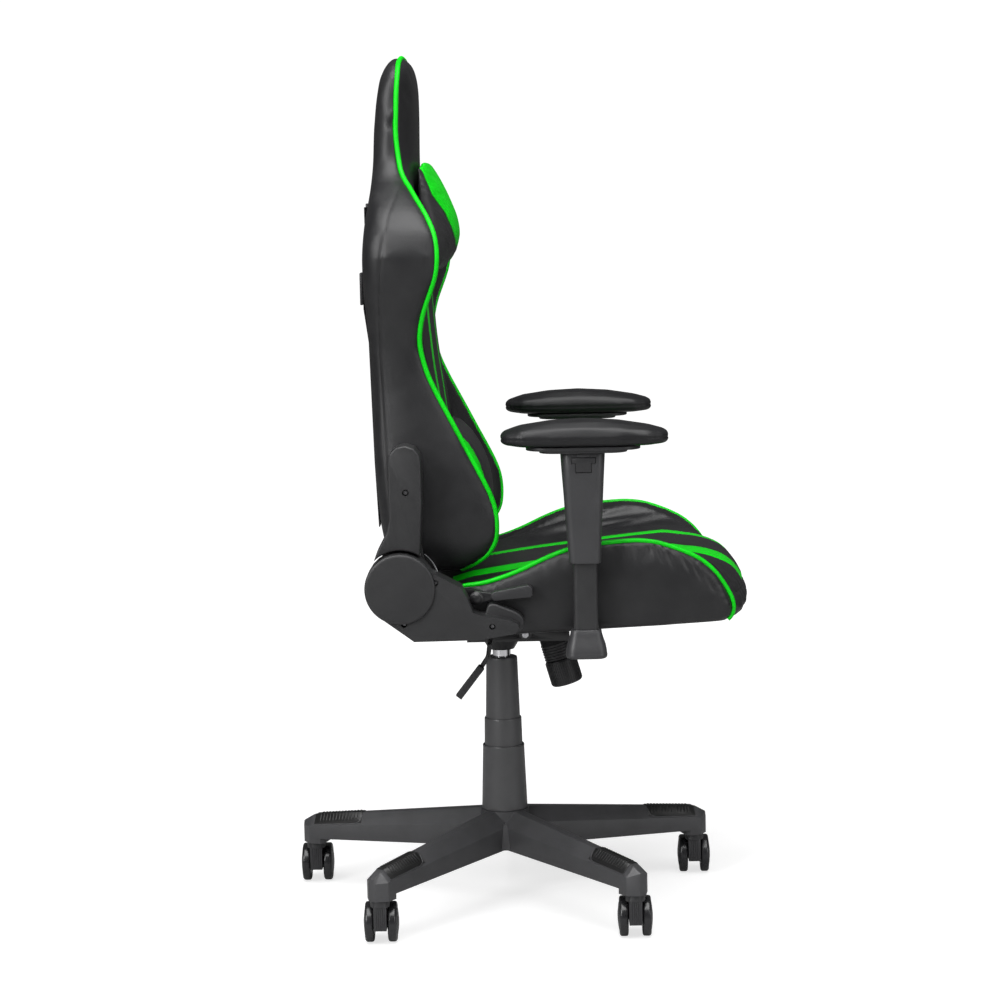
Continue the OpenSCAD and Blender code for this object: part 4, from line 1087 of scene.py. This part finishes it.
under_front = np.where((y < -300) & (np.abs(x) < 200), np.abs(z - 508), AWAY)
seam = np.minimum(np.minimum(edge_seam, stripe_seam), under_front)
press_seam(seat, edge_seam, edge_run, 1.8, 4.0, 0.3, 17.0)
press_seam(seat, stripe_seam, -y, 1.2, 3.0, 0.08, 13.0)
press_seam(seat, under_front, x, 1.4, 4.0, 0.4, 23.0)
folds = np.zeros(len(x))
side_panel = np.clip(normals(seat)[:, 0] * np.sign(x) * 4 - 2.2, 0, 1)
for fy, fz, lean, size in ((-236, 575, 0.35, 2.2), (-252, 566, 0.42, 1.8), (-222, 578, 0.3, 1.4),
                           (-276, 556, 0.5, 1.5), (-292, 545, 0.55, 1.3), (-196, 580, 0.2, 1.0),
                           (-310, 528, 0.6, 1.2), (-352, 528, 0.9, 1.6)):
    u = (y - fy) + (z - fz) * -lean
    v = (z - fz) + (y - fy) * lean
    folds -= size * np.exp(-(u / 3.4) ** 2) * np.exp(-(v / 16) ** 2) * side_panel
set_coords(seat, coords(seat) + normals(seat) * (folds * MM)[:, None])
mark(seat, "green_mm", stripe)
mark(seat, "seam_mm", seam)
complete(seat, "seat_cushion_cover", leather, "seat", "seat_cushion", angle=180)
seat_tree = tree_of(seat)
for side, word in ((-1, "right"), (1, "left")):
    path = [(side * width_at(seat_widths, a, 0.965), a, b) for a, b in seat_edge]
    complete(snapped_cord(seat_tree, path, 3.6), f"seat_piping_{word}", piping_green, "seat", angle=180)
print("seat cover", len(seat.data.polygons), "faces")

# %% [markdown]
# ## Back
# One tall piece with a narrow head and wide shoulder and waist wings. Green piping runs up each outer
# edge and over the head. A second, plain seam divides the side panel from the rear cover.

# %% Back cushion
back_widths = [(543, 196), (552, 214), (570, 226), (612, 236), (655, 236), (700, 234), (753, 230), (807, 226),
               (849, 226), (890, 232), (924, 242), (967, 254), (1010, 262), (1047, 254), (1075, 232),
               (1100, 200), (1122, 166), (1146, 145), (1190, 141), (1235, 140), (1268, 133), (1288, 117),
               (1299, 91), (1304, 59)]
back_edge = [(51, 542), (27, 556), (10, 568), (-2, 585), (-7, 605), (-6, 629), (-1, 655), (9, 676), (21, 700),
             (35, 726), (49, 753), (63, 779), (78, 807), (89, 829), (97, 849), (102, 875), (102, 898),
             (97, 924), (89, 944), (80, 967), (72, 990), (70, 1010), (71, 1024), (77, 1047), (89, 1070),
             (104, 1093), (119, 1116), (129, 1130), (134, 1150), (137, 1176), (136, 1218), (134, 1261),
             (132, 1283)]
rear_edge = [(120, 1120), (133, 1104), (146, 1070), (156, 1013), (162, 950), (164, 870), (161, 780),
             (157, 690), (151, 600), (142, 556)]
back = even_mesh("back_cushion", 0.010, 10, 6)
at = coords(back) / MM
edge_gap, edge_run = to_line(at[:, 1:], back_edge)
outer = np.abs(at[:, 0]) > width_at(back_widths, at[:, 2], 0.86)
held = ((edge_gap < 6) & outer) | (at[:, 1] > 150) | (at[:, 2] < 556)
held |= (np.abs(np.abs(at[:, 0]) - 108) < 26) & (np.abs(at[:, 2] - 1065) < 40)
puff(back, held, 7)
apply(back, "SUBSURF", levels=1, render_levels=1)
at = coords(back) / MM
x, y, z = at.T
edge_gap, edge_run = to_line(at[:, 1:], back_edge)
rear_gap, rear_run = to_line(at[:, 1:], rear_edge)
outer = np.abs(x) > width_at(back_widths, z, 0.86)
edge_seam = np.where(outer, edge_gap, AWAY)
over_head = np.where(z > 1272, np.abs(y - 132), AWAY)
rear_seam = np.where(outer & (z < 1122), rear_gap, AWAY)
front = normals(back)[:, 1] < -0.2
stripe = 21 - np.abs(np.abs(x) - STRIPE_X)
stripe = np.minimum(stripe, np.where(front, 50.0, -5.0))
stripe = np.minimum(stripe, np.minimum(z - 560, 1034 - z))
stripe_seam = np.where(front & (z > 550) & (z < 1040), np.abs(stripe), AWAY)
seam = np.minimum(np.minimum(edge_seam, over_head), np.minimum(rear_seam, stripe_seam))
press_seam(back, np.minimum(edge_seam, over_head), edge_run, 1.4, 4.5, 0.0, 19.0)
press_seam(back, rear_seam, rear_run, 0.9, 2.4, 0.06, 15.0)
press_seam(back, stripe_seam, z, 1.2, 3.0, 0.08, 13.0)
mark(back, "green_mm", stripe)
mark(back, "seam_mm", seam)
complete(back, "back_cushion_cover", leather, "back", "back_cushion", angle=180)
back_tree = tree_of(back)
over = [(-112, 131, 1290), (-91, 131, 1298), (-60, 130, 1303), (0, 130, 1305), (60, 130, 1303),
        (91, 131, 1298), (112, 131, 1290)]
right = [(-width_at(back_widths, b, 0.965), a, b) for a, b in back_edge[:-1]]
path = right + over + [(-p[0], p[1], p[2]) for p in reversed(right)]
complete(snapped_cord(back_tree, path, 3.8), "back_piping", piping_green, "back", angle=180)
print("back cover", len(back.data.polygons), "faces")

# %% [markdown]
# ## Pillows
# The neck pillow has a green face and black sides, and the lumbar pillow is black with two green bands.
# Both are softer than the seat, so they are blown up further and gather more at their seams.

# %% Neck and lumbar pillows
def pillow(node_name, cover, name, cap, bands, slack, tip):
    """The tip of a thin cushion that smoothing wore down is drawn out again above the height tip, in mm."""
    obj = even_mesh(node_name, 0.007, 4)
    at = coords(obj) / MM
    rear = at[:, 1].max()
    at[:, 2] += np.maximum(at[:, 2] - tip, 0) * 0.3
    set_coords(obj, at * MM)
    puff(obj, at[:, 1] > rear - 5, cap, 4.0)
    apply(obj, "SUBSURF", levels=1, render_levels=1)
    at = coords(obj) / MM
    inside, seam, run = bands(at)
    press_seam(obj, seam, run, 1.6, 3.4, slack, 14.0)
    mark(obj, "green_mm", inside)
    mark(obj, "seam_mm", seam)
    complete(obj, name, cover, "back", node_name, angle=180)
    return obj


neck_mid = [(104, 1119), (85, 1097), (68, 1072), (58, 1048), (54, 1030), (54, 1012), (65, 998)]


def neck_bands(at):
    x, y, z = at.T
    line = np.interp(z, [975, 985] + [b for a, b in reversed(neck_mid)] + [1145],
                     [80, 72] + [a for a, b in reversed(neck_mid)] + [122])
    inside = np.minimum(118 - np.abs(x), (line - y) * 0.8)
    return inside, np.abs(inside), z + x


def lumbar_bands(at):
    x, y, z = at.T
    inside = np.minimum(14 - np.abs(np.abs(x) - 114), 64 - y)
    ring = np.abs(y - 66)
    return inside, np.minimum(np.abs(inside), ring), z + x


pillow("neck_pillow", neck_cover, "neck_pillow_cover", 8, neck_bands, 0.4, 1098)
pillow("lumbar_pillow", lumbar_cover, "lumbar_pillow_cover", 8, lumbar_bands, 0.4, 740)

# %% [markdown]
# ## Armrest pads
# Moulded soft pads with a domed top, a blunt edge and a parting seam all round. The copy of the CAD solid
# is remeshed finely and smoothed, then its edge gets a shallow groove.

# %% Arm pads
for side, word in ((-1, "right"), (1, "left")):
    pad = even_mesh(f"arm_pad_{word}", 0.004, 6)
    at = coords(pad) / MM
    facing = normals(pad)
    rim_gap = np.where(np.abs(facing[:, 2]) < 0.8, np.abs(at[:, 2] - 748.5), AWAY)
    set_coords(pad, coords(pad) - facing * (1.3 * np.exp(-(rim_gap / 1.5) ** 2) * MM)[:, None])
    complete(pad, f"armrest_pad_{word}", pad_black, f"arm_pad_{word}", f"arm_pad_{word}", angle=180)

# %% [markdown]
# ## Straps and buckles
# Elastic webbing holds both pillows. Behind the back a horizontal strap joins the two harness slots, and
# two straps run down to the seat, each through a slider buckle. A strap is a flat strip extruded along
# its path, and the buckle is a rounded frame with a bar.

# %% Webbing strips
def strip(path, x1, x2, thick=1.6):
    """A flat strap between x1 and x2 in mm that follows (y, z) points in mm."""
    bpy.ops.object.select_all(action="DESELECT")
    bpy.ops.mesh.primitive_plane_add(size=1, location=(0, 0, 0))
    obj = bpy.context.object
    a, b = path[0], path[1]
    along = Vector((0, b[0] - a[0], b[1] - a[1])).normalized()
    out = Vector((0, along.z, -along.y)) * thick / 2
    start = Vector((0, *a))
    for corner, (x, s) in zip(obj.data.vertices, ((x1, 1), (x2, 1), (x1, -1), (x2, -1))):
        corner.co = (start + Vector((x, 0, 0)) + out * s) * MM
    only(obj)
    bpy.ops.object.mode_set(mode="EDIT")
    bpy.ops.mesh.select_all(action="SELECT")
    for a, b in zip(path[:-1], path[1:]):
        bpy.ops.mesh.extrude_region_move(TRANSFORM_OT_translate={"value": (0, (b[0] - a[0]) * MM,
                                                                           (b[1] - a[1]) * MM)})
    bpy.ops.object.mode_set(mode="OBJECT")
    return rounded(outward(obj), 0.4, 1)


def slider_buckle(x, y, z, w, h):
    """A slider buckle facing +Y: a rounded plate with two slots, in mm."""
    obj = block((x, y, z), (w, 4.4, h))
    for dz in (-h * 0.22, h * 0.22):
        cut(obj, block((x, y, z + dz), (w - 8, 12, h * 0.24)))
    return rounded(obj, 1.2, 3)


straps = []
buckles = [slider_buckle(0, 190.2, 1068.5, 28, 36)]
flat_back = strip([(188.3, 1056), (188.3, 1081)], -100, 100)
straps.append(flat_back)
for side in (-1, 1):
    x1, x2 = side * 82, side * 110
    straps.append(strip([(190, 1034), (192, 1000), (192.5, 930), (186, 880), (182, 700), (178, 602)], x1, x2))
    straps.append(strip([(104, 1036), (105, 980), (100, 880), (89, 781), (79, 753)], x1, x2))
    buckles.append(slider_buckle(side * 96, 195.6, 960, 33, 48))
complete(join(straps), "pillow_webbing", webbing, "back", "pillow_straps")
complete(join(buckles), "strap_buckles", grip_black, "back")
